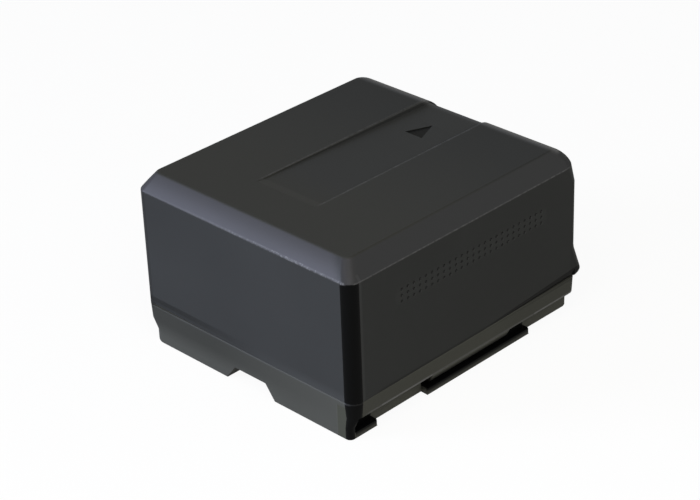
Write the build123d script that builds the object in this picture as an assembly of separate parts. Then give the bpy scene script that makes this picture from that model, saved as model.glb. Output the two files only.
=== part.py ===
from build123d import *
import os

# Two-cell slide-on camera battery, millimetres.
# X runs across the pack, Y is the way it slides on, Z is up; the origin is under its middle.

# Cells
CAN_DIAMETER = 17.8
CELL_LENGTH = 38.5
CAN_EDGE = 0.5
GROOVE_DEPTH = 0.5
GROOVE_WIDTH = 1.2
GROOVE_BELOW_CRIMP = 2.6
BUTTON_DIAMETER = 7.0
BUTTON_HEIGHT = 0.6
SLEEVE_WALL = 0.15
SLEEVE_LIP = 2.1
WASHER = 0.25
WASHER_ROOM = 0.4
CELL_GAP = 0.3

# Clearances
FIT = 0.05
SIDE_CLEARANCE = 0.25
END_CLEARANCE = 0.4
BOARD_CLEARANCE = 0.4

# Case walls
WALL = 1.4
FLOOR = 1.3
ROOF = 1.4
CORNER = 1.7
INNER_CORNER = 0.3

# Stack of pieces below and above the cells
STANDOFF = 0.8
BOARD = 0.8
PARTS_ROOM = 1.6
SHEET = 0.25
PAD = 1.2

# Bevel round the top, and the rear lip low on the upper case
CHAMFER_DROP = 2.6
CHAMFER_SIDE = 2.0
CHAMFER_FRONT = 1.8
CHAMFER_REAR = 2.7
TOP_CORNER = 1.1
EDGE_ROUND = 0.3
REAR_LIP = 1.45
REAR_LIP_CORNER = 1.4
NOSE_ABOVE_JOINT = 0.35
FLARE_RISE = 4.2

# Sloping channel and arrow on the top
CHANNEL_WIDTH = 10.8
CHANNEL_START = 8.5
CHANNEL_RAMP = 1.6
CHANNEL_RAMP_DEPTH = 0.14
CHANNEL_DEPTH = 0.8
ARROW_WIDTH = 3.2
ARROW_LENGTH = 3.9
ARROW_FROM_REAR = 11.4
ARROW_DEPTH = 0.2

# Grip dimples on both sides
GRIP_ROWS = 3
GRIP_COLUMNS = 25
GRIP_PITCH = 1.13
GRIP_ROW_PITCH = 0.88
GRIP_DIMPLE = 0.52
GRIP_DEPTH = 0.15
GRIP_FRONT = 9.2
GRIP_BELOW_TOP = 7.7
GRIP_SIDES = 6

# Joint between the two halves of the case
BASE_BAND = 2.2
JOINT_RISE = 0.2
SKIRT = 0.75
TONGUE_HEIGHT = 1.6
RELIEF_HEIGHT = 1.15
FRONT_RELIEF_HEIGHT = 1.45
RELIEF_DEPTH = 0.4
RELIEF_LOW_HEIGHT = 0.25
RELIEF_LOW_DEPTH = 0.02
FRONT_RELIEF_LENGTH = 21.0
SIDE_RELIEF_LENGTH = 19.0
SIDE_RELIEF_STOP = 0.7

# Hook rails along both sides of the base
LIP = 1.05
HOOK_SLOT = 2.35
LIP_INSET = 0.84
WEB_INSET = 2.12
RAIL_WALL = 1.2
SHELF = 1.2
POST = 0.95
POST_SHOULDER = 1.6
POST_CORNER = 0.85
LEFT_POST_CORNER = 2.2
REAR_POST_CORNER = 2.2
REAR_FOOT_ROUND = 0.8
WALL_FOOT_CORNER = 1.45
LEFT_WALL_FOOT_CORNER = 2.0
REAR_WALL_FOOT_CORNER = 2.0
FRONT_POCKET = 4.1
RAIL_GAP = 9.5
CENTRE_LIP = 20.5
LIP_RUN_IN = 0.9
REAR_POCKET = 4.2
RIB_TOP_INSET = 0.35
RIB_LOW_INSET = 1.6

# Latch notch under the front
NOTCH_MIDDLE = 0.6
NOTCH_WIDTH = 9.3
NOTCH_ROOF = 5.8
NOTCH_HEIGHT = 2.2
NOTCH_DEPTH = 3.0
NOTCH_WALL = 1.1

# Cell saddles and board posts inside the base
SADDLE_WALL = 1.2
SADDLE_FROM_END = 5.5
SADDLE_DROP = 7.4
SADDLE_CLEARANCE = 0.1
BOARD_POST = 2.0
BOARD_POST_INSET = 0.4

# Label in its recess under the base
LABEL_WIDTH = 24.0
LABEL_LENGTH = 19.0
LABEL_THICKNESS = 0.12
LABEL_RECESS = 0.2
LABEL_MARGIN = 0.25
LABEL_CORNER = 1.5

# Nickel strips and end sheets
STRIP = 0.2
STRIP_WIDTH = 6.0
LINK_OVERLAP = 3.0
TAB_WIDTH = 2.8
FOOT = 2.5
END_SHEET = 0.3
END_SHEET_TRIM = 2.15

# Terminal block and its spring contacts
CONTACT_NAMES = ["positive", "data", "temperature", "negative"]
CONTACT_PITCH = 3.0
CONTACT_SLOT = 1.3
CONTACT_WINDOW = 1.0
CONTACT_WINDOW_LENGTH = 5.0
CONTACT_LENGTH = 4.6
CONTACT_METAL = 0.25
CONTACT_TAIL = 2.0
TAIL_WIDTH = 0.7
BLOCK_DEPTH = 7.0
BLOCK_END = 1.05
BLOCK_HEIGHT = 2.9
BLOCK_ROOF = 0.5
CONTACT_FOOT_GAP = 0.3

# Board and the parts on it
BOARD_EDGE = 0.4
CHIP_LENGTH = 4.4
CHIP_WIDTH = 3.0
CHIP_HEIGHT = 0.9
CHIP_LEG = 0.3
CHIP_LEG_REACH = 0.8
CHIP_LEG_THICK = 0.2
CHIP_LEG_PITCH = 0.65
CHIP_LEGS = 4
CHIP_X = 3.6
CHIP_SPACING = 6.5
SMALL_NAMES = ["identity_resistor", "sense_resistor", "filter_capacitor", "thermistor"]
SMALL_LENGTH = 2.0
SMALL_WIDTH = 1.25
SMALL_HEIGHT = 0.7
SMALL_SPACING = 3.2
FUSE_LENGTH = 7.5
FUSE_WIDTH = 4.4
FUSE_HEIGHT = 0.8

# Foam strips over the cells and the card under them
PAD_REACH = 4.75
PAD_LENGTH = 6.0
PAD_FROM_END = 6.0
SHEET_OVERHANG = 3.2

# Sizes that follow
CAN_RADIUS = CAN_DIAMETER / 2
BUTTON_RADIUS = BUTTON_DIAMETER / 2
CRIMP = CELL_LENGTH - BUTTON_HEIGHT
SLEEVE_RADIUS = CAN_RADIUS + FIT + SLEEVE_WALL
SLEEVE_MOUTH = SLEEVE_RADIUS - SLEEVE_LIP
CELL_X = SLEEVE_RADIUS + CELL_GAP / 2
WIDTH = 2 * (CELL_X + SLEEVE_RADIUS + SIDE_CLEARANCE + WALL)
HALF = WIDTH / 2

BOARD_Z = FLOOR + STANDOFF
BOARD_TOP = BOARD_Z + BOARD
SHEET_Z = BOARD_TOP + PARTS_ROOM
CELL_Z = SHEET_Z + SHEET + FIT + SLEEVE_RADIUS
CELL_TOP = CELL_Z + SLEEVE_RADIUS
ROOF_Z = CELL_TOP + PAD + 2 * FIT
HEIGHT = ROOF_Z + ROOF
SHOULDER = HEIGHT - CHAMFER_DROP

# The bevel leans in over the cells' ends, so the cells stand back from it
BEVEL_SHARE = max(0.0, 1 - (PAD + 2 * FIT) / CHAMFER_DROP)
FRONT_ROOM = CHAMFER_FRONT * BEVEL_SHARE + END_CLEARANCE
REAR_ROOM = CHAMFER_REAR * BEVEL_SHARE + END_CLEARANCE
LENGTH = CELL_LENGTH + FRONT_ROOM + REAR_ROOM + 2 * WALL
FRONT = -(LENGTH + REAR_LIP) / 2
REAR = FRONT + LENGTH
INNER_FRONT = FRONT + WALL
INNER_REAR = REAR - WALL
CELL_FRONT = INNER_FRONT + FRONT_ROOM
CELL_REAR = CELL_FRONT + CELL_LENGTH

SLOT_TOP = LIP + HOOK_SLOT
SHELF_TOP = SLOT_TOP + SHELF
JOINT_Z = SLOT_TOP + BASE_BAND
JOINT = Plane(origin=(0, FRONT, JOINT_Z), x_dir=(1, 0, 0), z_dir=(0, -JOINT_RISE, LENGTH))
JOINT_REAR_Z = JOINT_Z + JOINT_RISE
NOSE_Z = JOINT_REAR_Z + NOSE_ABOVE_JOINT
FLARE_Z = NOSE_Z + FLARE_RISE

POST_END = FRONT + POST
FRONT_LIP_END = POST_END + FRONT_POCKET
LIP_START = FRONT_LIP_END + RAIL_GAP
LIP_END = LIP_START + CENTRE_LIP
PIT_HALF = HALF - WEB_INSET - RAIL_WALL

BLOCK_REAR = INNER_REAR - FIT
BLOCK_FRONT = BLOCK_REAR - BLOCK_DEPTH
CONTACT_XS = [CONTACT_PITCH * (i - (len(CONTACT_NAMES) - 1) / 2) for i in range(len(CONTACT_NAMES))]
BLOCK_HALF = CONTACT_XS[-1] + CONTACT_SLOT / 2 + BLOCK_END
TAB_LEFT = BLOCK_HALF + BOARD_CLEARANCE
TAB_RIGHT = TAB_LEFT + TAB_WIDTH
BOARD_HALF = TAB_RIGHT + BOARD_EDGE
BOARD_FRONT = FRONT + NOTCH_DEPTH + NOTCH_WALL + BOARD_CLEARANCE
BOARD_REAR = INNER_REAR - BOARD_CLEARANCE
SADDLE_YS = [CELL_FRONT + SADDLE_FROM_END, CELL_REAR - SADDLE_FROM_END]
FOOT_Z = BOARD_TOP + FIT

# Cutters run this far past the faces they cut
PAST = 1.0


# Shared shapes
def block(x0, x1, y0, y1, z0, z1):
    """Box between two corners."""
    middle = ((x0 + x1) / 2, (y0 + y1) / 2, (z0 + z1) / 2)
    return Pos(*middle) * Box(x1 - x0, y1 - y0, z1 - z0)


def prism_y(points, start, end):
    """Prism of an X and Z outline from one Y to another."""
    face = make_face(Polyline(*points, close=True))
    return extrude(Plane.XZ.offset(-start) * face, amount=start - end)


def prism_x(points, start, end):
    """Prism of a Y and Z outline from one X to another."""
    face = make_face(Polyline(*points, close=True))
    return extrude(Plane.YZ.offset(start) * face, amount=end - start)


def section(z, side=0.0, front=0.0, rear=0.0, radius=CORNER, rear_radius=None, left_radius=None):
    """Rounded rectangle at height z, set in from the case's outline. Left is the front left corner."""
    middle = (FRONT + front + REAR - rear) / 2
    shape = Pos(0, middle) * Rectangle(WIDTH - 2 * side, LENGTH - front - rear)
    left, right = shape.vertices().group_by(Axis.Y)[0].sort_by(Axis.X)
    shape = fillet(shape.vertices().group_by(Axis.Y)[-1], rear_radius or radius)
    shape = fillet(shape.vertices().sort_by_distance(left)[0], left_radius or radius)
    shape = fillet(shape.vertices().sort_by_distance(right)[0], radius)
    return Pos(0, 0, z) * shape


def both_sides(shape):
    """A shape and its mirror image across the pack."""
    return [shape, mirror(shape, about=Plane.YZ)]


# Case
def upper_outside():
    """Outer form of the upper case, down past the joint."""
    lipped = dict(rear=-REAR_LIP, rear_radius=REAR_LIP_CORNER)
    skirt = extrude(section(SLOT_TOP), amount=JOINT_REAR_Z - SLOT_TOP)
    lip = loft([section(JOINT_REAR_Z), section(NOSE_Z, **lipped)], ruled=True)
    flare = loft([section(NOSE_Z, **lipped), section(FLARE_Z)], ruled=True)
    walls = extrude(section(FLARE_Z), amount=SHOULDER - FLARE_Z)
    top = section(HEIGHT, CHAMFER_SIDE, CHAMFER_FRONT, CHAMFER_REAR, TOP_CORNER)
    bevel = loft([section(SHOULDER), top], ruled=True)
    body = skirt + lip + flare + walls + bevel
    rim = body.faces().sort_by(Axis.Z)[-1].edges()
    return fillet(rim, EDGE_ROUND)


def upper_inside():
    """Room for the cells, with the bevel's slope at its top."""
    spring = ROOF_Z - CHAMFER_DROP
    low = section(SLOT_TOP, WALL, WALL, WALL, INNER_CORNER)
    middle = section(spring, WALL, WALL, WALL, INNER_CORNER)
    top = section(ROOF_Z, WALL + CHAMFER_SIDE, WALL + CHAMFER_FRONT, WALL + CHAMFER_REAR, INNER_CORNER)
    return extrude(low, amount=spring - SLOT_TOP) + loft([middle, top], ruled=True)


def channel_cut():
    """Sloping channel on the top, open at the rear."""
    start = FRONT + CHANNEL_START
    outline = [
        (start, HEIGHT),
        (start + CHANNEL_RAMP, HEIGHT - CHANNEL_RAMP_DEPTH),
        (REAR, HEIGHT - CHANNEL_DEPTH),
        (REAR, HEIGHT + PAST),
        (start, HEIGHT + PAST),
    ]
    return prism_x(outline, -CHANNEL_WIDTH / 2, CHANNEL_WIDTH / 2)


def arrow_cut():
    """Sunk triangle on the channel's floor that points the way the pack slides on."""
    base = REAR - ARROW_FROM_REAR
    ramp_end = FRONT + CHANNEL_START + CHANNEL_RAMP
    share = (base - ramp_end) / (REAR - ramp_end)
    floor = HEIGHT - CHANNEL_RAMP_DEPTH - share * (CHANNEL_DEPTH - CHANNEL_RAMP_DEPTH)
    corners = [(-ARROW_WIDTH / 2, base), (ARROW_WIDTH / 2, base), (0, base + ARROW_LENGTH)]
    face = make_face(Polyline(*corners, close=True))
    return extrude(Pos(0, 0, floor - ARROW_DEPTH) * face, amount=ARROW_DEPTH + PAST)


def grip_cut():
    """Rows of small dimples on one side."""
    dimples = Sketch()
    for row in range(GRIP_ROWS):
        z = HEIGHT - GRIP_BELOW_TOP + GRIP_ROW_PITCH * (row - (GRIP_ROWS - 1) / 2)
        for column in range(GRIP_COLUMNS):
            y = FRONT + GRIP_FRONT + GRIP_PITCH * column
            dimples += Pos(y, z) * RegularPolygon(GRIP_DIMPLE / 2, GRIP_SIDES)
    return extrude(Plane.YZ.offset(HALF - GRIP_DEPTH) * dimples, amount=GRIP_DEPTH + PAST)


def relief_outline(face, joint, height, depth):
    """Section of the shadow line above the joint: a facet that leans in to the joint."""
    return make_face(Polyline(
        (face + PAST, joint - PAST),
        (face - depth, joint - PAST),
        (face - depth, joint),
        (face, joint + height),
        (face + PAST, joint + height),
        close=True,
    ))


def across(x):
    """Plane across the pack at x, its own x running out of the front face and its y up."""
    return Plane(origin=(x, 0, 0), x_dir=(0, -1, 0), z_dir=(-1, 0, 0))


def front_relief():
    """Shadow line across the front, deepest at the left end."""
    low = relief_outline(-FRONT, JOINT_Z, FRONT_RELIEF_HEIGHT, RELIEF_LOW_DEPTH)
    deep = relief_outline(-FRONT, JOINT_Z, FRONT_RELIEF_HEIGHT, RELIEF_DEPTH)
    near = across(-HALF + FRONT_RELIEF_LENGTH) * low
    far = across(-HALF - PAST) * deep
    return loft([far, near], ruled=True)


def side_relief():
    """Shadow line along the right side, deepest at the rear."""
    stop = REAR - SIDE_RELIEF_STOP
    start = stop - SIDE_RELIEF_LENGTH
    slope = JOINT_RISE / LENGTH
    low = relief_outline(HALF, JOINT_Z + slope * (start - FRONT), RELIEF_LOW_HEIGHT, RELIEF_LOW_DEPTH)
    deep = relief_outline(HALF, JOINT_Z + slope * (stop - FRONT), RELIEF_HEIGHT, RELIEF_DEPTH)
    return loft([Plane.XZ.offset(-start) * low, Plane.XZ.offset(-stop) * deep], ruled=True)


def upper_case():
    """Upper half of the case, with the groove that takes the base's tongue."""
    body = split(upper_outside() - upper_inside(), bisect_by=JOINT, keep=Keep.TOP)
    groove = extrude(section(SLOT_TOP, SKIRT - FIT, SKIRT - FIT, SKIRT - FIT, CORNER - SKIRT), amount=HEIGHT)
    body -= split(groove, bisect_by=JOINT.offset(TONGUE_HEIGHT + FIT), keep=Keep.BOTTOM)
    body -= channel_cut()
    body -= arrow_cut()
    body -= both_sides(grip_cut())
    return body - [front_relief(), side_relief()]


def base_outside():
    """Outer form of the base: a flush wall over narrower rails, with a sloping shoulder between them.

    From the joint down its front right corner gets sharper, and the others get rounder.
    """
    shoulder = SLOT_TOP - POST_SHOULDER
    corners = dict(radius=POST_CORNER, left_radius=LEFT_POST_CORNER, rear_radius=REAR_POST_CORNER)
    post = dict(side=LIP_INSET, **corners)
    foot_corners = dict(left_radius=LEFT_WALL_FOOT_CORNER, rear_radius=REAR_WALL_FOOT_CORNER)
    foot = section(SLOT_TOP, radius=WALL_FOOT_CORNER, **foot_corners)
    rails = extrude(section(0, **post), amount=shoulder)
    slope = loft([section(shoulder, **post), foot], ruled=True)
    wall = loft([foot, section(JOINT_Z)], ruled=True) + extrude(section(JOINT_Z), amount=HEIGHT)
    return rails + slope + split(wall, bisect_by=JOINT, keep=Keep.BOTTOM)


def rail_cut():
    """What is cut from the right side under the wall, so that a hook slides in behind the lips."""
    out = HALF + PAST
    web = HALF - WEB_INSET
    end = REAR + PAST
    rib_start = LIP_START + LIP_RUN_IN
    rib_end = LIP_END - REAR_POCKET
    rib = [
        (out, SLOT_TOP),
        (HALF - RIB_TOP_INSET, SLOT_TOP),
        (HALF - RIB_LOW_INSET, LIP),
        (out, LIP),
    ]
    return [
        block(web, out, POST_END, rib_start, LIP, SLOT_TOP),
        block(web, out, rib_end, end, LIP, SLOT_TOP),
        block(web, out, FRONT_LIP_END, LIP_START, -PAST, SLOT_TOP),
        block(web, out, LIP_END, end, -PAST, SLOT_TOP),
        prism_y(rib, rib_start, rib_end),
    ]


def base_inside():
    """Room inside the base: a pit between the rails, wider above them."""
    pit = block(-PIT_HALF, PIT_HALF, INNER_FRONT, INNER_REAR, FLOOR, HEIGHT)
    return [pit, extrude(section(SHELF_TOP, WALL, WALL, WALL, INNER_CORNER), amount=HEIGHT)]


def tongue():
    """Rim that stands up inside the upper case."""
    ring = extrude(section(SHELF_TOP, SKIRT, SKIRT, SKIRT, CORNER - SKIRT), amount=HEIGHT)
    ring -= extrude(section(SHELF_TOP, WALL, WALL, WALL, INNER_CORNER), amount=HEIGHT)
    return split(ring, bisect_by=JOINT.offset(TONGUE_HEIGHT), keep=Keep.BOTTOM)


def notch_outline():
    """Latch notch in the base's front edge."""
    low = NOTCH_WIDTH / 2 * (1 + PAST / NOTCH_HEIGHT) - NOTCH_ROOF / 2 * PAST / NOTCH_HEIGHT
    return [
        (NOTCH_MIDDLE - low, -PAST),
        (NOTCH_MIDDLE + low, -PAST),
        (NOTCH_MIDDLE + NOTCH_ROOF / 2, NOTCH_HEIGHT),
        (NOTCH_MIDDLE - NOTCH_ROOF / 2, NOTCH_HEIGHT),
    ]


def saddles():
    """Ribs that carry the outer flanks of the two cells."""
    inner = BOARD_HALF + BOARD_CLEARANCE
    ribs = []
    for y in SADDLE_YS:
        rib = block(inner, PIT_HALF, y - SADDLE_WALL / 2, y + SADDLE_WALL / 2, FLOOR, CELL_Z - SADDLE_DROP)
        seat = Cylinder(SLEEVE_RADIUS + SADDLE_CLEARANCE, CELL_LENGTH, rotation=(90, 0, 0))
        ribs += both_sides(rib - Pos(CELL_X, y, CELL_Z) * seat)
    return ribs


def board_posts():
    """Posts that the circuit board stands on."""
    posts = []
    x = BOARD_HALF - BOARD_POST_INSET - BOARD_POST
    rear = BOARD_REAR - BOARD_POST_INSET - BOARD_POST
    for y in (BOARD_FRONT + BOARD_POST_INSET, rear):
        posts += both_sides(block(x, x + BOARD_POST, y, y + BOARD_POST, FLOOR, BOARD_Z))
    return posts


def rear_foot_cut():
    """What is cut under the rear to round its lower edge."""
    middle = Pos(0, REAR - REAR_FOOT_ROUND, REAR_FOOT_ROUND)
    corner = block(-HALF - PAST, HALF + PAST, REAR - REAR_FOOT_ROUND, REAR + PAST, -PAST, REAR_FOOT_ROUND)
    return corner - middle * Rot(0, 90, 0) * Cylinder(REAR_FOOT_ROUND, WIDTH + 4 * PAST)


def base_case():
    """Lower half of the case, with the hook rails, the latch notch and the contact windows."""
    body = base_outside() - rear_foot_cut()
    for cut in rail_cut():
        body -= both_sides(cut)
    body -= base_inside()
    body += tongue()
    house = NOTCH_WIDTH / 2 + NOTCH_WALL
    body += block(
        NOTCH_MIDDLE - house, NOTCH_MIDDLE + house,
        INNER_FRONT, FRONT + NOTCH_DEPTH + NOTCH_WALL,
        FLOOR, NOTCH_HEIGHT + NOTCH_WALL,
    )
    body += saddles() + board_posts()
    body -= prism_y(notch_outline(), FRONT - PAST, FRONT + NOTCH_DEPTH)
    window = CONTACT_WINDOW / 2
    window_front = REAR - CONTACT_WINDOW_LENGTH
    window_top = FLOOR + BLOCK_HEIGHT - BLOCK_ROOF
    for x in CONTACT_XS:
        body -= block(x - window, x + window, window_front, REAR + PAST, -PAST, window_top)
    recess = RectangleRounded(LABEL_WIDTH + 2 * LABEL_MARGIN, LABEL_LENGTH + 2 * LABEL_MARGIN, LABEL_CORNER)
    return body - extrude(Pos(0, 0, -PAST) * recess, amount=PAST + LABEL_RECESS)


def bottom_label():
    """Plain label stuck in its recess."""
    sheet = RectangleRounded(LABEL_WIDTH, LABEL_LENGTH, LABEL_CORNER)
    return extrude(Pos(0, 0, LABEL_RECESS - LABEL_THICKNESS) * sheet, amount=LABEL_THICKNESS)


# Cells
def turned(points):
    """Solid of revolution of a radius and height outline, with its axis along Y."""
    return revolve(make_face(Polyline(*points, close=True)), axis=Axis.Y)


def cell():
    """Steel can with a crimped end and a button, its flat end at the origin."""
    groove = CRIMP - GROOVE_BELOW_CRIMP
    return turned([
        (0, 0),
        (CAN_RADIUS - CAN_EDGE, 0),
        (CAN_RADIUS, CAN_EDGE),
        (CAN_RADIUS, groove - GROOVE_WIDTH / 2),
        (CAN_RADIUS - GROOVE_DEPTH, groove),
        (CAN_RADIUS, groove + GROOVE_WIDTH / 2),
        (CAN_RADIUS, CRIMP - CAN_EDGE),
        (CAN_RADIUS - CAN_EDGE, CRIMP),
        (BUTTON_RADIUS, CRIMP),
        (BUTTON_RADIUS, CELL_LENGTH),
        (0, CELL_LENGTH),
    ])


def sleeve():
    """Shrunk sleeve, turned in over the crimped end."""
    inner = CAN_RADIUS + FIT
    lip = CRIMP + FIT
    return turned([
        (inner, 0),
        (SLEEVE_RADIUS, 0),
        (SLEEVE_RADIUS, lip + SLEEVE_WALL),
        (SLEEVE_MOUTH, lip + SLEEVE_WALL),
        (SLEEVE_MOUTH, lip),
        (inner, lip),
    ])


def washer():
    """Paper ring round the button, inside the sleeve's mouth."""
    inner = BUTTON_RADIUS + WASHER_ROOM
    outer = SLEEVE_MOUTH - 2 * FIT
    low = CRIMP + FIT
    return turned([(inner, low), (outer, low), (outer, low + WASHER), (inner, low + WASHER)])


def in_left_cell(shape):
    """Button to the rear, on the left."""
    return Pos(-CELL_X, CELL_FRONT, CELL_Z) * shape


def in_right_cell(shape):
    """Button to the front, on the right."""
    return Pos(CELL_X, CELL_REAR, CELL_Z) * Rot(0, 0, 180) * shape


# Strips and sheets
def series_link():
    """Strip across the cells' front ends, with a tail down to the board."""
    back = CELL_FRONT - FIT
    face = back - STRIP
    reach = CELL_X + LINK_OVERLAP
    bar = block(-reach, reach, face, back, CELL_Z - STRIP_WIDTH / 2, CELL_Z + STRIP_WIDTH / 2)
    tail = block(TAB_LEFT, TAB_RIGHT, face, back, FOOT_Z, CELL_Z)
    foot = block(TAB_LEFT, TAB_RIGHT, face, BOARD_FRONT + FOOT, FOOT_Z, FOOT_Z + STRIP)
    return bar + tail + foot


def output_tab():
    """Strip from the right cell's rear end down to the board."""
    face = CELL_REAR + FIT
    back = face + STRIP
    riser = block(TAB_LEFT, TAB_RIGHT, face, back, FOOT_Z, CELL_Z + STRIP_WIDTH / 2)
    foot = block(TAB_LEFT, TAB_RIGHT, face - FOOT, back, FOOT_Z, FOOT_Z + STRIP)
    return riser + foot


def end_sheet(y):
    """Card between the strips and the end of the case, from y towards the rear."""
    reach = CELL_X + CAN_RADIUS
    half = CAN_RADIUS - END_SHEET_TRIM
    return block(-reach, reach, y, y + END_SHEET, CELL_Z - half, CELL_Z + half)


def board_sheet():
    """Card between the board and the cells."""
    half = SADDLE_WALL / 2 + BOARD_CLEARANCE
    reach = BOARD_HALF + SHEET_OVERHANG
    return block(-reach, reach, SADDLE_YS[0] + half, SADDLE_YS[1] - half, SHEET_Z, SHEET_Z + SHEET)


def roof_pad(y):
    """Foam strip between the cells and the roof."""
    reach = CELL_X + PAD_REACH
    return block(-reach, reach, y - PAD_LENGTH / 2, y + PAD_LENGTH / 2, CELL_TOP + FIT, ROOF_Z - FIT)


# Board, contacts and small parts
def circuit_board():
    """Board with a cut-out round the terminal block."""
    room = BLOCK_HALF + BOARD_CLEARANCE
    plate = block(-BOARD_HALF, BOARD_HALF, BOARD_FRONT, BOARD_REAR, BOARD_Z, BOARD_TOP)
    return plate - block(-room, room, BLOCK_FRONT - BOARD_CLEARANCE, REAR, 0, HEIGHT)


def terminal_block():
    """Moulded block with a slot for each contact and a hole for each tail."""
    body = block(-BLOCK_HALF, BLOCK_HALF, BLOCK_FRONT, BLOCK_REAR, FLOOR, FLOOR + BLOCK_HEIGHT)
    slot = CONTACT_SLOT / 2
    slot_front = BLOCK_REAR - CONTACT_LENGTH - FIT
    tail = TAIL_WIDTH / 2 + FIT
    for x in CONTACT_XS:
        body -= block(x - slot, x + slot, slot_front, REAR, 0, FLOOR + BLOCK_HEIGHT - BLOCK_ROOF)
        body -= block(x - tail, x + tail, FRONT, slot_front + FIT, BOARD_TOP, FOOT_Z + CONTACT_METAL + FIT)
    return body


def contact(x):
    """Forked spring contact in its slot, with a tail on the board."""
    reach = CONTACT_SLOT / 2 - FIT
    front = BLOCK_REAR - CONTACT_LENGTH
    low = FLOOR + CONTACT_FOOT_GAP
    top = FLOOR + BLOCK_HEIGHT - BLOCK_ROOF - FIT
    body = block(x - reach, x + reach, front, front + CONTACT_METAL, low, top)
    for side in (-1, 1):
        inner = x + side * (reach - CONTACT_METAL)
        outer = x + side * reach
        body += block(min(inner, outer), max(inner, outer), front, BLOCK_REAR, low, top)
    tail = TAIL_WIDTH / 2
    tail_front = BLOCK_FRONT - BOARD_CLEARANCE - CONTACT_TAIL
    return body + block(x - tail, x + tail, tail_front, front, FOOT_Z, FOOT_Z + CONTACT_METAL)


def chip(x, y):
    """Small eight-legged chip on the board."""
    low = BOARD_TOP + CHIP_LEG_THICK / 2
    half = CHIP_LENGTH / 2
    side = CHIP_WIDTH / 2
    body = block(x - half, x + half, y - side, y + side, low, BOARD_TOP + CHIP_HEIGHT)
    for leg in range(CHIP_LEGS):
        middle = y + CHIP_LEG_PITCH * (leg - (CHIP_LEGS - 1) / 2)
        reach = half + CHIP_LEG_REACH
        sides = (middle - CHIP_LEG / 2, middle + CHIP_LEG / 2)
        body += block(x - reach, x + reach, *sides, BOARD_TOP, BOARD_TOP + CHIP_LEG_THICK)
    return body


def small_part(x, y, length, width, height):
    """Plain block-shaped part on the board."""
    return block(x - length / 2, x + length / 2, y - width / 2, y + width / 2, BOARD_TOP, BOARD_TOP + height)


def make_nodes():
    """Every piece of the pack, by name."""
    nodes = {
        "upper_case": upper_case(),
        "base_case": base_case(),
        "bottom_label": bottom_label(),
        "left_cell": in_left_cell(cell()),
        "right_cell": in_right_cell(cell()),
        "left_cell_sleeve": in_left_cell(sleeve()),
        "right_cell_sleeve": in_right_cell(sleeve()),
        "left_cell_washer": in_left_cell(washer()),
        "right_cell_washer": in_right_cell(washer()),
        "series_link": series_link(),
        "negative_tab": output_tab(),
        "positive_tab": mirror(output_tab(), about=Plane.YZ),
        "front_end_sheet": end_sheet(CELL_FRONT - STRIP - END_SHEET - 2 * FIT),
        "rear_end_sheet": end_sheet(CELL_REAR + STRIP + 2 * FIT),
        "board_sheet": board_sheet(),
        "front_roof_pad": roof_pad(CELL_FRONT + PAD_FROM_END),
        "rear_roof_pad": roof_pad(CELL_REAR - PAD_FROM_END),
        "circuit_board": circuit_board(),
        "terminal_block": terminal_block(),
    }
    for name, x in zip(CONTACT_NAMES, CONTACT_XS):
        nodes[name + "_contact"] = contact(x)

    row = BLOCK_FRONT - BOARD_CLEARANCE - CONTACT_TAIL - CHIP_WIDTH
    nodes["protection_chip"] = chip(-CHIP_X, row)
    nodes["switch_transistor"] = chip(CHIP_X, row)
    small = (SMALL_LENGTH, SMALL_WIDTH, SMALL_HEIGHT)
    small_row = row - CHIP_SPACING / 2 - SMALL_WIDTH
    for place, name in enumerate(SMALL_NAMES):
        x = SMALL_SPACING * (place - (len(SMALL_NAMES) - 1) / 2)
        nodes[name] = small_part(x, small_row, *small)
    fuse_row = small_row - CHIP_SPACING
    nodes["resettable_fuse"] = small_part(0, fuse_row, FUSE_LENGTH, FUSE_WIDTH, FUSE_HEIGHT)
    return nodes


def main():
    os.makedirs("parts", exist_ok=True)
    for name, shape in make_nodes().items():
        export_step(shape, "parts/" + name + ".step")


if __name__ == "__main__":
    main()
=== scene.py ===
import math

import bmesh
import bpy
from mathutils import Matrix, Vector


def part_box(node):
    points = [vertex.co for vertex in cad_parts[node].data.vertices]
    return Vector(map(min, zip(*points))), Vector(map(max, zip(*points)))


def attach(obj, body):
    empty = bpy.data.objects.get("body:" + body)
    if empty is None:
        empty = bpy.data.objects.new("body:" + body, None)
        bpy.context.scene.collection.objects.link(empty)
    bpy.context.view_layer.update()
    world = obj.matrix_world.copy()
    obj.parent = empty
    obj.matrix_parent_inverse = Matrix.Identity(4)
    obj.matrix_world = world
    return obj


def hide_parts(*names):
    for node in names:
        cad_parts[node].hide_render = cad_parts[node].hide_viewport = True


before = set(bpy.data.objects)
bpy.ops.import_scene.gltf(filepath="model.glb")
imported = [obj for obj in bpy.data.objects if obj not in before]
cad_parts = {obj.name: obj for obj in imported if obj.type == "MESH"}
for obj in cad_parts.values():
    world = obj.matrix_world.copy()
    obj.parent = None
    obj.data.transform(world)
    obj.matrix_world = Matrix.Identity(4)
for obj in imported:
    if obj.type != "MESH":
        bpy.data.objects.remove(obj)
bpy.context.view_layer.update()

bl_info = {
    "name": "Slide-on camera battery",
    "version": (1, 0, 0),
    "blender": (4, 5, 0),
    "location": "3D View > Sidebar > Battery",
    "description": "Case, fittings and studio of a two-cell camera battery",
    "category": "Object",
}

MM = 0.001
CORNER_STEPS = 10
BEVEL_STEPS = 6
PAST = 1.0
OVERLAP = 0.01


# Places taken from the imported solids, in millimetres
def box_of(node):
    """Lowest and highest corner of a solid."""
    low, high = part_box(node)
    return low / MM, high / MM


UPPER_LOW, UPPER_HIGH = box_of("upper_case")
BASE_LOW, BASE_HIGH = box_of("base_case")
LABEL_LOW, LABEL_HIGH = box_of("bottom_label")
HALF = BASE_HIGH.x
FRONT = BASE_LOW.y
REAR = BASE_HIGH.y
LENGTH = REAR - FRONT
NOSE = UPPER_HIGH.y
TOP = UPPER_HIGH.z
JOINT = UPPER_LOW.z


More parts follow.
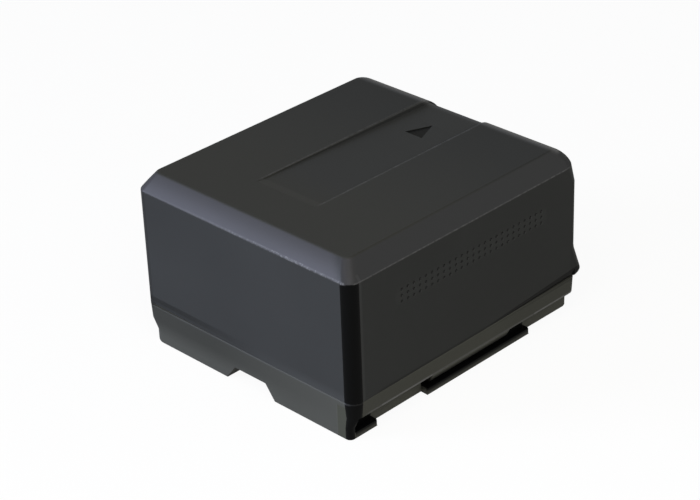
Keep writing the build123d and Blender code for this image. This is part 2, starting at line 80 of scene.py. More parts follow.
def length(name, description, millimetres):
    """A length that a user can change, given here in millimetres."""
    return bpy.props.FloatProperty(
        name=name, description=description, default=millimetres * MM, unit="LENGTH", precision=5
    )


def colour(name, description, red, green, blue):
    """A colour that a user can change."""
    return bpy.props.FloatVectorProperty(
        name=name, description=description, default=(red, green, blue), subtype="COLOR", min=0.0, max=1.0
    )


class Millimetres:
    """Reads the lengths of a group in millimetres, the unit that the case is drawn in."""

    def __init__(self, group):
        self.group = group

    def __getattr__(self, name):
        return getattr(self.group, name) / MM


class BatteryUpperSizes(bpy.types.PropertyGroup):
    """Sizes of the upper case."""

    corner: length("Corner", "Radius of the upright corners", 1.7)
    wall: length("Wall", "Thickness of the walls", 1.4)
    roof: length("Roof", "Thickness of the roof", 1.4)
    inner_corner: length("Inner corner", "Radius of the corners inside", 0.3)
    bevel_drop: length("Bevel drop", "Height of the bevel round the top", 2.6)
    bevel_side: length("Side bevel", "Width of the bevel along both sides", 2.0)
    bevel_front: length("Front bevel", "Width of the bevel at the front", 1.8)
    bevel_rear: length("Rear bevel", "Width of the bevel at the rear", 3.05)
    rear_crown: length("Rear crown", "Bulge of the bevel at the rear", 0.5)
    top_corner: length("Top corner", "Corner radius of the flat top", 1.1)
    rear_ease: length("Rear ease", "How much rounder the rear corners get up to the bevel", 1.2)
    rear_ease_drop: length("Rear ease drop", "From the bevel's foot to where the rear corners start to ease", 2.6)
    rim_round: length("Rim", "Softness of the edge round the top", 0.17)
    rear_rim_round: length("Rear rim", "Softness of the top's rear edge", 0.65)
    front_crown: length("Front crown", "How far the front bevel swells", 0.12)
    shoulder_round: length("Shoulder", "Softness of the bevel's lower edge", 0.1)
    flare_round: length("Flare", "Softness of the edge where the rear lip starts", 0.5)
    nose_round: length("Nose", "Softness of the rear lip's edge", 0.45)
    nose_corner: length("Nose corner", "Corner radius of the rear lip", 1.4)
    nose_height: length("Nose height", "Height of the rear lip's edge over the joint", 0.35)
    flare_rise: length("Flare rise", "Height over which the rear leans out to the lip", 4.2)
    joint_rise: length("Joint rise", "How far the joint climbs from the front to the rear", 0.2)
    joint_round: length("Joint edge", "Softness of the edges along the joint", 0.13)
    skirt: length("Skirt", "Thickness of the wall outside the base's tongue", 0.75)
    tongue: length("Tongue", "Height of the base's tongue", 1.6)
    fit: length("Fit", "Clearance between fitted pieces", 0.05)
    relief_height: length("Relief height", "Height of the side's shadow line above the joint", 1.15)
    front_relief_height: length("Front relief height", "Height of the front's shadow line above the joint", 1.45)
    relief_depth: length("Relief depth", "Depth of the shadow line above the joint", 0.4)
    relief_low_height: length("Relief low height", "Height of the side's shadow line where it fades", 0.25)
    relief_low_depth: length("Relief low depth", "Depth of the shadow line where it fades", 0.02)
    front_relief: length("Front relief", "Length of the shadow line across the front", 21.0)
    side_relief: length("Side relief", "Length of the shadow line along the right side", 19.0)
    side_relief_stop: length("Side relief stop", "Plain stretch behind the side's shadow line", 0.7)
    channel_width: length("Channel width", "Width of the sloping channel", 10.8)
    channel_start: length("Channel start", "Flat stretch in front of the channel", 8.5)
    channel_ramp: length("Channel ramp", "Length of the channel's first, steeper stretch", 1.6)
    channel_ramp_depth: length("Ramp depth", "Depth of the channel after its ramp", 0.14)
    channel_depth: length("Channel depth", "Depth of the channel at the rear", 0.8)
    channel_round: length("Channel edge", "Softness of the channel's edges", 0.12)
    channel_rear: length("Channel rear", "Width of the rear bevel inside the channel", 3.05)
    channel_run_out: length("Channel run-out", "How far the channel ends below the rear bevel", 0.3)
    channel_lean: length("Channel lean", "How far the channel's left edge leans out at the rear", 0.25)
    arrow_width: length("Arrow width", "Width of the sunk arrow", 3.2)
    arrow_length: length("Arrow length", "Length of the sunk arrow", 3.9)
    arrow_place: length("Arrow place", "From the rear to the arrow's base", 11.4)
    arrow_depth: length("Arrow depth", "Depth of the sunk arrow", 0.2)
    grip_pitch: length("Grip pitch", "Spacing of the dimples along a row", 1.13)
    grip_row_pitch: length("Row pitch", "Spacing of the rows of dimples", 0.88)
    grip_dimple: length("Dimple", "Width of a dimple", 0.52)
    grip_depth: length("Dimple depth", "Depth of a dimple", 0.12)
    grip_start: length("Grip start", "From the front to the first dimple", 9.2)
    grip_drop: length("Grip drop", "From the top to the middle row", 7.7)
    grip_rows: bpy.props.IntProperty(name="Rows", description="Rows of dimples on a side", default=3)
    grip_columns: bpy.props.IntProperty(name="Columns", description="Dimples in a row", default=25)


class BatteryBaseSizes(bpy.types.PropertyGroup):
    """Sizes of the base."""

    floor: length("Floor", "Thickness of the floor", 1.3)
    shelf: length("Shelf", "Thickness of the shelf over the hook slots", 1.2)
    lip: length("Lip", "Thickness of the hook lips", 1.05)
    slot: length("Hook slot", "Height of the hook slots", 2.35)
    lip_inset: length("Lip inset", "How far the lips stand back from the wall", 0.84)
    web_inset: length("Web inset", "How far the webs stand back from the wall", 2.12)
    rail_wall: length("Rail wall", "Thickness of the webs", 1.2)
    post: length("Post", "Length of the corner posts", 0.95)
    post_shoulder: length("Post shoulder", "Height of the posts' sloping shoulders", 1.6)
    post_corner: length("Post corner", "Corner radius of the front right post", 0.85)
    left_post_corner: length("Left post corner", "Corner radius of the front left post", 2.2)
    rear_post_corner: length("Rear corner", "Corner radius behind the rails", 2.2)
    wall_foot_corner: length("Wall foot corner", "Corner radius at the foot of the wall", 1.45)
    left_foot_corner: length("Left foot corner", "Front left corner radius at the foot of the wall", 2.0)
    rear_foot_corner: length("Rear foot corner", "Rear corner radius at the foot of the wall", 2.0)
    front_pocket: length("Front pocket", "Length of the pocket behind the front lip", 4.1)
    rail_gap: length("Rail gap", "Gap where the front hook enters", 9.5)
    centre_lip: length("Centre lip", "Length of the long lip", 20.5)
    lip_run_in: length("Run-in", "From the long lip's end to its rib", 0.9)
    rear_pocket: length("Rear pocket", "Length of the pocket behind the long lip's end", 4.2)
    rib_top: length("Rib top", "Inset of the sloping rib at its top", 0.35)
    rib_low: length("Rib foot", "Inset of the sloping rib at its foot", 1.6)
    notch_middle: length("Notch place", "From the middle to the latch notch", 0.6)
    notch_width: length("Notch width", "Width of the latch notch at the underside", 9.3)
    notch_roof: length("Notch roof", "Width of the latch notch at its roof", 5.8)
    notch_height: length("Notch height", "Height of the latch notch", 2.2)
    notch_depth: length("Notch depth", "Depth of the latch notch", 3.0)
    notch_wall: length("Notch wall", "Wall round the latch notch", 1.1)
    window: length("Window", "Width of a contact window", 1.0)
    window_length: length("Window length", "Length of a contact window in the floor", 5.0)
    window_height: length("Window height", "Height of a contact window over the floor", 2.4)
    window_pitch: length("Window pitch", "Spacing of the contact windows", 3.0)
    label_recess: length("Label recess", "Depth of the label's recess", 0.2)
    label_margin: length("Label margin", "Gap round the label", 0.25)
    label_corner: length("Label corner", "Corner radius of the label's recess", 1.5)
    saddle_wall: length("Saddle", "Thickness of a cell saddle", 1.2)
    saddle_drop: length("Saddle drop", "From the cells' middle down to the saddles' tops", 7.4)
    saddle_place: length("Saddle place", "From a cell's end to its saddle", 5.5)
    saddle_room: length("Saddle room", "Clearance round a cell in its saddle", 0.1)
    board_room: length("Board room", "Clearance round the circuit board", 0.4)
    board_post: length("Board post", "Width of a post under the board", 2.0)
    edge_round: length("Edge", "Softness of the outer edges", 0.12)
    lip_round: length("Lip edge", "Softness of the hook lips' outer edges", 0.34)
    foot_round: length("Foot edge", "Softness of the lowest edges", 0.2)
    rear_foot_round: length("Rear foot edge", "Softness of the lowest edge at the rear", 0.8)


class BatteryColours(bpy.types.PropertyGroup):
    """Colours of the pack."""

    upper: colour("Upper case", "Textured plastic of the upper case", 0.032, 0.033, 0.0332)
    # Painted light: a warmer tint painted on the top, most at its front
    upper_warm_light: colour("Top", "Slightly warmer plastic at the top's front", 0.0328, 0.033, 0.0302)
    # Painted light: a colder tint painted on the right side bevel
    upper_cool_light: colour("Side bevel", "Slightly colder plastic of the side bevels", 0.0325, 0.0332, 0.0362)
    # Painted sheen: a lighter tone painted on the front bevel
    upper_bevel_sheen: colour("Bevel", "Rubbed plastic of the front bevel", 0.047, 0.0455, 0.051)
    # Glossy upright corners painted near-black, partly as a dark reflection, and painted shade in the base's hook
    # slots
    gloss_and_shade_black: colour("Upright corners", "Polished plastic of the upright corners", 0.0022, 0.0023, 0.0025)
    base: colour("Base", "Textured plastic of the base", 0.06, 0.0605, 0.0535)
    dusty: colour("Dusty strip", "Duller strip at the end of the base's front", 0.05, 0.051, 0.04)
    # Real chips and painted highlights along edges
    wear_and_highlight: colour("Wear", "Plastic where an edge is rubbed", 0.2, 0.2, 0.21)
    label: colour("Label", "Plain film under the base", 0.07, 0.07, 0.072)
    steel: colour("Cells", "Plated steel of the cells", 0.6, 0.61, 0.62)
    sleeve: colour("Sleeves", "Shrunk film on the cells", 0.03, 0.16, 0.36)
    washer: colour("Washers", "Card rings", 0.74, 0.73, 0.68)
    nickel: colour("Strips", "Nickel strips", 0.64, 0.63, 0.6)
    card: colour("Sheets", "Insulating card", 0.3, 0.37, 0.33)
    foam: colour("Foam", "Foam strips", 0.06, 0.06, 0.062)
    board: colour("Board", "Coated circuit board", 0.015, 0.15, 0.06)
    block: colour("Terminal block", "Moulded block", 0.03, 0.03, 0.03)
    gold: colour("Contacts", "Plated contacts", 0.85, 0.6, 0.22)
    resin: colour("Chips", "Moulded resin", 0.02, 0.02, 0.022)
    resistor: colour("Resistors", "Glazed bodies", 0.03, 0.03, 0.04)
    ceramic: colour("Capacitor", "Fired ceramic", 0.45, 0.33, 0.2)
    fuse: colour("Fuse", "Moulded fuse", 0.5, 0.36, 0.07)


class BatteryStage(bpy.types.PropertyGroup):
    """Light and camera."""

    key: bpy.props.FloatProperty(name="Key", description="Power of the lamp at the left front", default=9.9, unit="POWER")
    fill: bpy.props.FloatProperty(name="Fill", description="Power of the lamp at the right front", default=0.84, unit="POWER")
    back: bpy.props.FloatProperty(name="Back", description="Power of the lamp behind", default=0.4, unit="POWER")
    room: bpy.props.FloatProperty(name="Room", description="Brightness of the room", default=0.13)
    lens: bpy.props.FloatProperty(
        name="Lens", description="Focal length on a 36 mm sensor", default=110.5, unit="CAMERA"
    )


# Drawing
def ring(bm, z, half=HALF, front=FRONT, rear=REAR, radius=1.7, rear_radius=None, left_radius=None):
    """Edges of a rounded rectangle at height z. The rear corners and the front left one may differ."""
    steps = 4 * CORNER_STEPS
    verts = bmesh.ops.create_circle(bm, segments=steps, radius=1 / math.cos(math.pi / steps))["verts"]
    bmesh.ops.rotate(bm, verts=verts, matrix=Matrix.Rotation(math.pi / steps, 3, "Z"))
    arcs = {}
    for v in verts:
        arcs.setdefault((v.co.x > 0, v.co.y > 0), []).append(v)
    for (right, behind), arc in arcs.items():
        r = (rear_radius if behind else None if right else left_radius) or radius
        x = half - r if right else r - half
        y = rear - r if behind else front + r
        bmesh.ops.scale(bm, verts=arc, vec=(r, r, 1))
        bmesh.ops.translate(bm, verts=arc, vec=(x, y, z))
    return list({e for v in verts for e in v.link_edges})


def loft(bm, rings):
    """Closed form through a stack of rings."""
    for low, high in zip(rings, rings[1:]):
        bmesh.ops.bridge_loops(bm, edges=low + high)
    close(bm)


def close(bm):
    """Fills what is open and turns the faces outwards."""
    bmesh.ops.holes_fill(bm, edges=[e for e in bm.edges if e.is_boundary], sides=0)
    bmesh.ops.recalc_face_normals(bm, faces=bm.faces[:])


def block(bm, low, high):
    """Box between two corners."""
    low, high = Vector(low), Vector(high)
    place = Matrix.Translation((low + high) / 2) @ Matrix.Diagonal((*(high - low), 1))
    bmesh.ops.create_cube(bm, size=1, matrix=place)


def prism(bm, outline, along):
    """Prism of a flat outline, drawn out along a vector."""
    face = bm.faces.new([bm.verts.new(p) for p in outline])
    grown = bmesh.ops.extrude_face_region(bm, geom=[face])["geom"]
    bmesh.ops.translate(bm, verts=[v for v in grown if isinstance(v, bmesh.types.BMVert)], vec=along)
    bmesh.ops.recalc_face_normals(bm, faces=bm.faces[:])


def both_sides(bm):
    """Adds the mirror image across the pack."""
    copy = bmesh.ops.duplicate(bm, geom=bm.verts[:] + bm.edges[:] + bm.faces[:])["geom"]
    verts = [v for v in copy if isinstance(v, bmesh.types.BMVert)]
    bmesh.ops.scale(bm, verts=verts, vec=(-1, 1, 1))
    bmesh.ops.recalc_face_normals(bm, faces=bm.faces[:])


def climb(bm, edges, rise):
    """Lets a level ring climb to the rear, as the joint does."""
    slope = rise / LENGTH
    shear = Matrix(((1, 0, 0, 0), (0, 1, 0, 0), (0, slope, 1, -FRONT * slope), (0, 0, 0, 1)))
    bmesh.ops.transform(bm, matrix=shear, verts=list({v for e in edges for v in e.verts}))


def cut_at_joint(bm, rise, raised):
    """Keeps what is below the sloping joint, raised by a height."""
    normal = Vector((0, -rise, LENGTH)).normalized()
    bmesh.ops.bisect_plane(
        bm, geom=bm.verts[:] + bm.edges[:] + bm.faces[:], dist=1e-5,
        plane_co=Vector((0, FRONT, JOINT)) + normal * raised, plane_no=normal,
        clear_outer=True,
    )
    close(bm)


def piece_from(bm, name):
    """Object from a drawn form."""
    mesh = bpy.data.meshes.new(name)
    bm.to_mesh(mesh)
    bm.free()
    piece = bpy.data.objects.new(name, mesh)
    bpy.context.scene.collection.objects.link(piece)
    return piece


def settle(piece):
    """Applies a piece's modifiers."""
    graph = bpy.context.evaluated_depsgraph_get()
    drawn = piece.data
    piece.data = bpy.data.meshes.new_from_object(piece.evaluated_get(graph))
    piece.modifiers.clear()
    bpy.data.meshes.remove(drawn)


def combine(piece, bm, operation="DIFFERENCE"):
    """Cuts a drawn form from a piece, or joins it on."""
    tool = piece_from(bm, "tool")
    change = piece.modifiers.new("tool", "BOOLEAN")
    change.operation = operation
    change.solver = "EXACT"
    change.object = tool
    settle(piece)
    shape = tool.data
    bpy.data.objects.remove(tool)
    bpy.data.meshes.remove(shape)


def soften(piece, width_of, segments=3):
    """Rounds the edges that width_of gives a width in millimetres."""
    bm = bmesh.new()
    bm.from_mesh(piece.data)
    bmesh.ops.remove_doubles(bm, verts=bm.verts[:], dist=1e-4)
    bmesh.ops.dissolve_limit(
        bm, angle_limit=math.radians(0.5), verts=bm.verts[:], edges=bm.edges[:], delimit={"NORMAL"}
    )
    weight = bm.edges.layers.float.get("bevel_weight_edge") or bm.edges.layers.float.new("bevel_weight_edge")
    for edge in bm.edges:
        sharp = edge.is_manifold and edge.calc_face_angle(0.0) > math.radians(3)
        edge[weight] = width_of(edge, (edge.verts[0].co + edge.verts[1].co) / 2) if sharp else 0.0
    bm.to_mesh(piece.data)
    bm.free()
    change = piece.modifiers.new("soften", "BEVEL")
    change.limit_method = "WEIGHT"
    change.width = 1.0
    change.segments = segments
    change.profile = 0.5
    change.use_clamp_overlap = False
    settle(piece)


def complete(piece, node, finish, sharp=32):
    """Brings a drawn piece to size, gives it its finish and lets it stand for its solid."""
    piece.data.transform(Matrix.Scale(MM, 4))
    piece.data.shade_smooth()
    piece.data.set_sharp_from_angle(angle=math.radians(sharp))
    even = piece.modifiers.new("even shading", "WEIGHTED_NORMAL")
    even.weight = 90
    even.keep_sharp = True
    piece.data.materials.clear()
    piece.data.materials.append(finish)
    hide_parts(node)
    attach(piece, "root")


def dress(finish, *nodes):
    """Gives solids that stay as they are their finish."""
    for node in nodes:
        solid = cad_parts[node]
        if not solid.material_slots:
            solid.data.materials.append(finish)
        for place in solid.material_slots:
            place.material = finish


# Finishes
class Signal:
    """An output of a finish's nodes. Arithmetic on it adds Math nodes."""

    def __init__(self, finish, socket):
        self.finish = finish
        self.socket = socket

    def math(self, operation, *others, clamp=False):
        inputs = dict(enumerate((self, *others)))
        return self.finish.node("ShaderNodeMath", {"operation": operation, "use_clamp": clamp}, inputs)

    def __add__(self, other):
        return self.math("ADD", other)

    def __sub__(self, other):
        return self.math("SUBTRACT", other)

    def __rsub__(self, other):
        return self.math("MULTIPLY_ADD", -1.0, other)

    def __mul__(self, other):
        return self.math("MULTIPLY", other)

    def __truediv__(self, other):
        return self.math("DIVIDE", other)

    def __abs__(self):
        return self.math("ABSOLUTE")

    __radd__ = __add__
    __rmul__ = __mul__


class Finish:
    """A material under construction."""

    def __init__(self, name):
        self.material = bpy.data.materials.new(name)
        self.material.use_nodes = True
        self.tree = self.material.node_tree
        self.tree.nodes.clear()

    def node(self, kind, settings=None, inputs=None, output=0):
        """Adds a node: its settings first, then the values or links of its sockets."""
        made = self.tree.nodes.new(kind)
        for name, value in (settings or {}).items():
            setattr(made, name, value)
        for name, value in (inputs or {}).items():
            if isinstance(value, Signal):
                self.tree.links.new(value.socket, made.inputs[name])
            else:
                made.inputs[name].default_value = value
        return Signal(self, made.outputs[output]) if made.outputs else None

    def place(self):
        """Where a point lies, in millimetres."""
        point = self.node("ShaderNodeTexCoord", output="Object")
        return self.node("ShaderNodeVectorMath", {"operation": "SCALE"}, {0: point, "Scale": 1 / MM})

    def axes(self, point):
        """The three coordinates of a point."""
        made = self.node("ShaderNodeSeparateXYZ", {}, {0: point})
        return [Signal(self, out) for out in made.socket.node.outputs]

    def stretched(self, point, factors):
        """A point with its coordinates scaled apart."""
        return self.node("ShaderNodeVectorMath", {"operation": "MULTIPLY"}, {0: point, 1: factors})

    def noise(self, point, scale, detail=2.0, roughness=0.5):
        return self.node(
            "ShaderNodeTexNoise", {}, {"Vector": point, "Scale": scale, "Detail": detail, "Roughness": roughness}
        )

    def cells(self, point, scale, feature="F1"):
        return self.node("ShaderNodeTexVoronoi", {"feature": feature}, {"Vector": point, "Scale": scale})

    def step(self, signal, low, high):
        """0 below low, 1 above high, with a soft change between; the other way round if high is the lower."""
        inputs = {"Value": signal, "From Min": low, "From Max": high}
        if high < low:
            inputs = {"Value": signal, "From Min": high, "From Max": low, "To Min": 1.0, "To Max": 0.0}
        return self.node("ShaderNodeMapRange", {"interpolation_type": "SMOOTHSTEP"}, inputs)

    def share(self, signal, low, high):
        """0 at low, 1 at high, with an even change between."""
        return self.node("ShaderNodeMapRange", {}, {"Value": signal, "From Min": low, "From Max": high})

    def near(self, signal, value, reach):
        """1 where a signal is close to a value, 0 further away than the reach."""
        return self.step(abs(signal - value), reach, reach * 0.4)

    def between(self, signal, low, high, soft=0.05):
        """1 between two values, 0 outside them."""
        return self.step(signal, low - soft, low + soft) * self.step(signal, high + soft, high - soft)

    def blend(self, share, first, second):
        """Mixes two colours."""
        pair = [value if isinstance(value, Signal) else (*value, 1.0) for value in (first, second)]
        settings = {"data_type": "RGBA", "clamp_factor": True}
        return self.node("ShaderNodeMix", settings, {0: share, 6: pair[0], 7: pair[1]}, output=2)

    def bump(self, height, depth, strength=1.0, under=None):
        """Surface relief: depth in millimetres for a height of 1."""
        inputs = {"Height": height, "Distance": depth * MM, "Strength": strength}
        if under:
            inputs["Normal"] = under
        return self.node("ShaderNodeBump", {}, inputs)

    def done(self, base, roughness, normal=None, metallic=0.0, **constants):
        """Ends the material in a Principled shader."""
        inputs = {"Base Color": base, "Roughness": roughness, "Metallic": metallic}
        if normal:
            inputs["Normal"] = normal
        inputs.update({name.replace("_", " "): value for name, value in constants.items()})
        shader = self.node("ShaderNodeBsdfPrincipled", {}, inputs)
        self.node("ShaderNodeOutputMaterial", {}, {"Surface": shader})
        return self.material


def toned(shade, factor):
    """A lighter or darker tone of a colour."""
    return tuple(min(1.0, part * factor) for part in shade)


def upright_corner(finish, x, y, half, radius):
    """How glossy the upright corners are, and how far they are painted near-black, partly as a dark reflection: the
    front right one fully, the others a little.

    Half width and radius may change with height.
    """
    across = abs(x) - half + radius
    along = abs(y - (FRONT + REAR) / 2) - LENGTH / 2 + radius
    corner = finish.step(across, -0.05, 0.08) * finish.step(along, -0.05, 0.08)
    return corner * (0.25 + 0.75 * finish.step(x, 0.0, 1.0) * finish.step(y, 1.0, 0.0))


def over_joint(y, z, upper):
    """Height over the sloping joint."""
    return z - JOINT - (y - FRONT) * (upper.joint_rise / LENGTH)


def upper_finish(colours, size):
    """Black plastic with a fine spark texture, glossy on a corner and painted near-black there, partly as a dark
    reflection, with real chips at the front bevel's foot and painted shade, sheen and highlights.
    """
    finish = Finish("upper_plastic")
    point = finish.place()
    x, y, z = finish.axes(point)
    shoulder = TOP - size.bevel_drop
    clouds = finish.noise(point, 0.06, 3.0)
    grain = finish.noise(point, 5.0, 2.0, 0.6)
    ragged = finish.noise(point, 1.3, 4.0, 0.75)
    corner = upright_corner(finish, x, y, HALF, size.corner)
    corner = corner * finish.step(z, shoulder + 0.02, shoulder - 0.06)
    arrow_base = REAR - size.arrow_place
    sunk = channel_floor(size, arrow_base) - size.arrow_depth
    arrow = finish.between(z, sunk - 0.12, sunk + 0.1) * finish.between(x, -size.arrow_width / 2, size.arrow_width / 2)
    arrow = arrow * finish.between(y, arrow_base, arrow_base + size.arrow_length)
    # Painted sheen: the front bevel and the bevel's near corner are painted lighter, most at the bevel's foot, with
    # painted shade at the front bevel's end by the corner.
    bevel_share = finish.share(z, shoulder, TOP)
    bevel = finish.step(z, shoulder - 0.05, shoulder + 0.05) * finish.step(bevel_share, 0.99, 0.9)
    from_front = y - FRONT - bevel_share * size.bevel_front
    from_right = HALF - x - bevel_share * size.bevel_side
    along_front = bevel * finish.step(from_front, 0.5, 0.2)
    front_bevel_sheen = along_front * finish.step(from_right, 0.6, 3.2) * (1.0 - bevel_share * 0.45)
    bevel_end_shade = along_front * finish.step(from_right, 3.0, 0.8) * 0.5
    near_bevel_sheen = bevel * finish.step(from_front, 1.6, 0.6) * finish.step(from_right, 1.6, 0.6)
    # Painted shade and painted light on the facets over the joint: across the front painted shade at the left and
    # painted light at the right, along the side painted shade.
    above = over_joint(y, z, size)
    front = finish.step(y, FRONT + 0.6, FRONT + 0.45)
    right = finish.step(x, HALF - 0.7, HALF - 0.5)
    front_band = front * finish.step(above, size.front_relief_height + 0.12, size.front_relief_height - 0.12)
    front_dark = front_band * finish.step(above, 0.2, 0.8) * finish.step(x, 4.0, -14.0) * 0.7
    front_light = front_band * finish.share(above, 1.6, 0.2) * finish.step(x, -3.0, 14.0)
    stop = REAR - size.side_relief_stop
    height = finish.share(y, stop - size.side_relief, stop) * (size.relief_height - size.relief_low_height)
    side_band = right * finish.step(above - height * 1.25 - size.relief_low_height, 0.06, -0.06)
    side_band = side_band * finish.step(y, stop - size.side_relief, stop - 0.7 * size.side_relief)
    seam = finish.near(above, 0.16, 0.34) * right * finish.step(y, FRONT + 3.5, FRONT + 6.0)
    shade = (front_dark + side_band + seam * 0.45).math("MINIMUM", 1.0)
    rows = finish.between(z, TOP - size.grip_drop - 2 * size.grip_row_pitch, TOP - size.grip_drop + 2 * size.grip_row_pitch)
    dimples = rows * finish.between(abs(x), HALF - 2 * size.grip_depth, HALF - 0.04, 0.03)
    gripped = finish.between(y, FRONT + size.grip_start - size.grip_pitch, REAR - 7.0, 0.3)
    dimples = dimples * gripped
    # Painted light on the land between the rows of dimples
    dimple_land_light = finish.near(z, TOP - size.grip_drop, 1.7 * size.grip_row_pitch) * gripped
    dimple_land_light = dimple_land_light * finish.step(abs(x), HALF - 0.06, HALF - 0.03)
    # Painted highlight along the top's rear rim
    near_rim = finish.share(REAR - y - bevel_share * size.bevel_rear, 1.3, 0.0)
    rear_rim = near_rim * near_rim * finish.step(z, TOP - 1.0, TOP - 0.5)
    # Painted shade: the top darker towards the rear, the front darker towards its top left
    deep = finish.step(z, TOP - 1.6, TOP - 1.2) * (1 - bevel) * (0.2 + finish.share(y, -8.0, 20.0) * 0.6)
    deep = deep + front * finish.share(x, 2.0, -18.0) * finish.share(z, 13.0, 20.0) * 0.45
    # Real chips, ragged, at the front bevel's foot over a painted highlight line; painted highlight strokes along the
    # right bevel, the channel, the ramp, beside the near corner and on the rear rim.
    front_edge = finish.near(z, shoulder + 0.06, 0.26) * finish.step(y, FRONT + 0.3, FRONT + 0.1)
    front_edge = front_edge * finish.share(x, -30.0, 6.0)
    chips = finish.step(finish.noise(point, 2.4, 4.0, 0.8), 0.46, 0.68) * finish.share(x, -14.0, 8.0)
    chips_and_highlight = (0.12 + chips * 0.6) * front_edge
    side_highlight = finish.near(z, shoulder, 0.12) * finish.step(abs(x), HALF - 0.3, HALF - 0.15)
    channel_highlight = finish.near(abs(x), size.channel_width / 2 + 0.1, 0.28) * finish.step(z, TOP - 0.2, TOP - 0.05)
    channel_highlight = channel_highlight * finish.step(y, FRONT + size.channel_start, FRONT + size.channel_start + 2.0)
    channel_highlight = channel_highlight * (0.6 + finish.step(x, -1.0, 1.0) * 0.4)
    ramp_highlight = finish.near(y, FRONT + size.channel_start + 0.9, 0.9) * finish.step(z, TOP - 0.4, TOP - 0.3)
    ramp_highlight = ramp_highlight * finish.between(x, -size.channel_width / 2, size.channel_width / 2)
    corner_highlight = right * finish.near(y, FRONT + size.corner + 0.2, 0.3) * 0.06
    edge_highlights = (side_highlight * 0.35 + channel_highlight * 0.2) * finish.share(ragged, 0.3, 0.65) + corner_highlight + rear_rim * 0.7 + ramp_highlight * 0.03
    face = finish.blend(clouds, toned(colours.upper, 0.88), toned(colours.upper, 1.12))
    # Painted shade on the top towards the rear and on the front's top left
    face = finish.blend(deep, face, toned(colours.upper, 0.75))
    # Painted light: warmer on the top towards the front, colder on the right side bevel
    crown = finish.step(bevel_share, 0.9, 0.96) * finish.share(y, 12.0, -12.0)
    side_bevel_cool_light = bevel * finish.step(from_right, 0.6, 0.3) * finish.step(from_front, 0.6, 1.6)
    face = finish.blend(crown * 0.8, face, colours.upper_warm_light)
    face = finish.blend(side_bevel_cool_light * 0.8, face, colours.upper_cool_light)
    # Painted light between the dimples
    face = finish.blend(dimple_land_light, face, toned(colours.upper, 1.1))
    # Painted shade and painted light on the facets over the joint
    face = finish.blend(shade, face, toned(colours.upper, 0.36))
    face = finish.blend(front_light, face, toned(colours.upper, 1.4))
    # Painted shade at the front bevel's end, painted sheen on the front bevel
    face = finish.blend(bevel_end_shade, face, toned(colours.upper, 0.3))
    face = finish.blend(front_bevel_sheen + near_bevel_sheen * 0.5, face, colours.upper_bevel_sheen)
    face = finish.blend(arrow, face, toned(colours.upper, 0.27))
    # Painted shade in the dimples
    face = finish.blend(dimples, face, toned(colours.upper, 0.62))
    # Painted near-black on the glossy corners, partly a dark reflection
    base = finish.blend(corner, face, colours.gloss_and_shade_black)
    # Real chips and painted highlights along the edges
    base = finish.blend(chips_and_highlight + edge_highlights, base, colours.wear_and_highlight)
    rough = 0.44 + (grain - 0.5) * 0.1 + (clouds - 0.5) * 0.08 - corner * 0.28
    relief = finish.bump(grain * (1 - corner), 0.012, 0.5)
    return finish.done(base, rough, relief, Specular_IOR_Level=0.1)


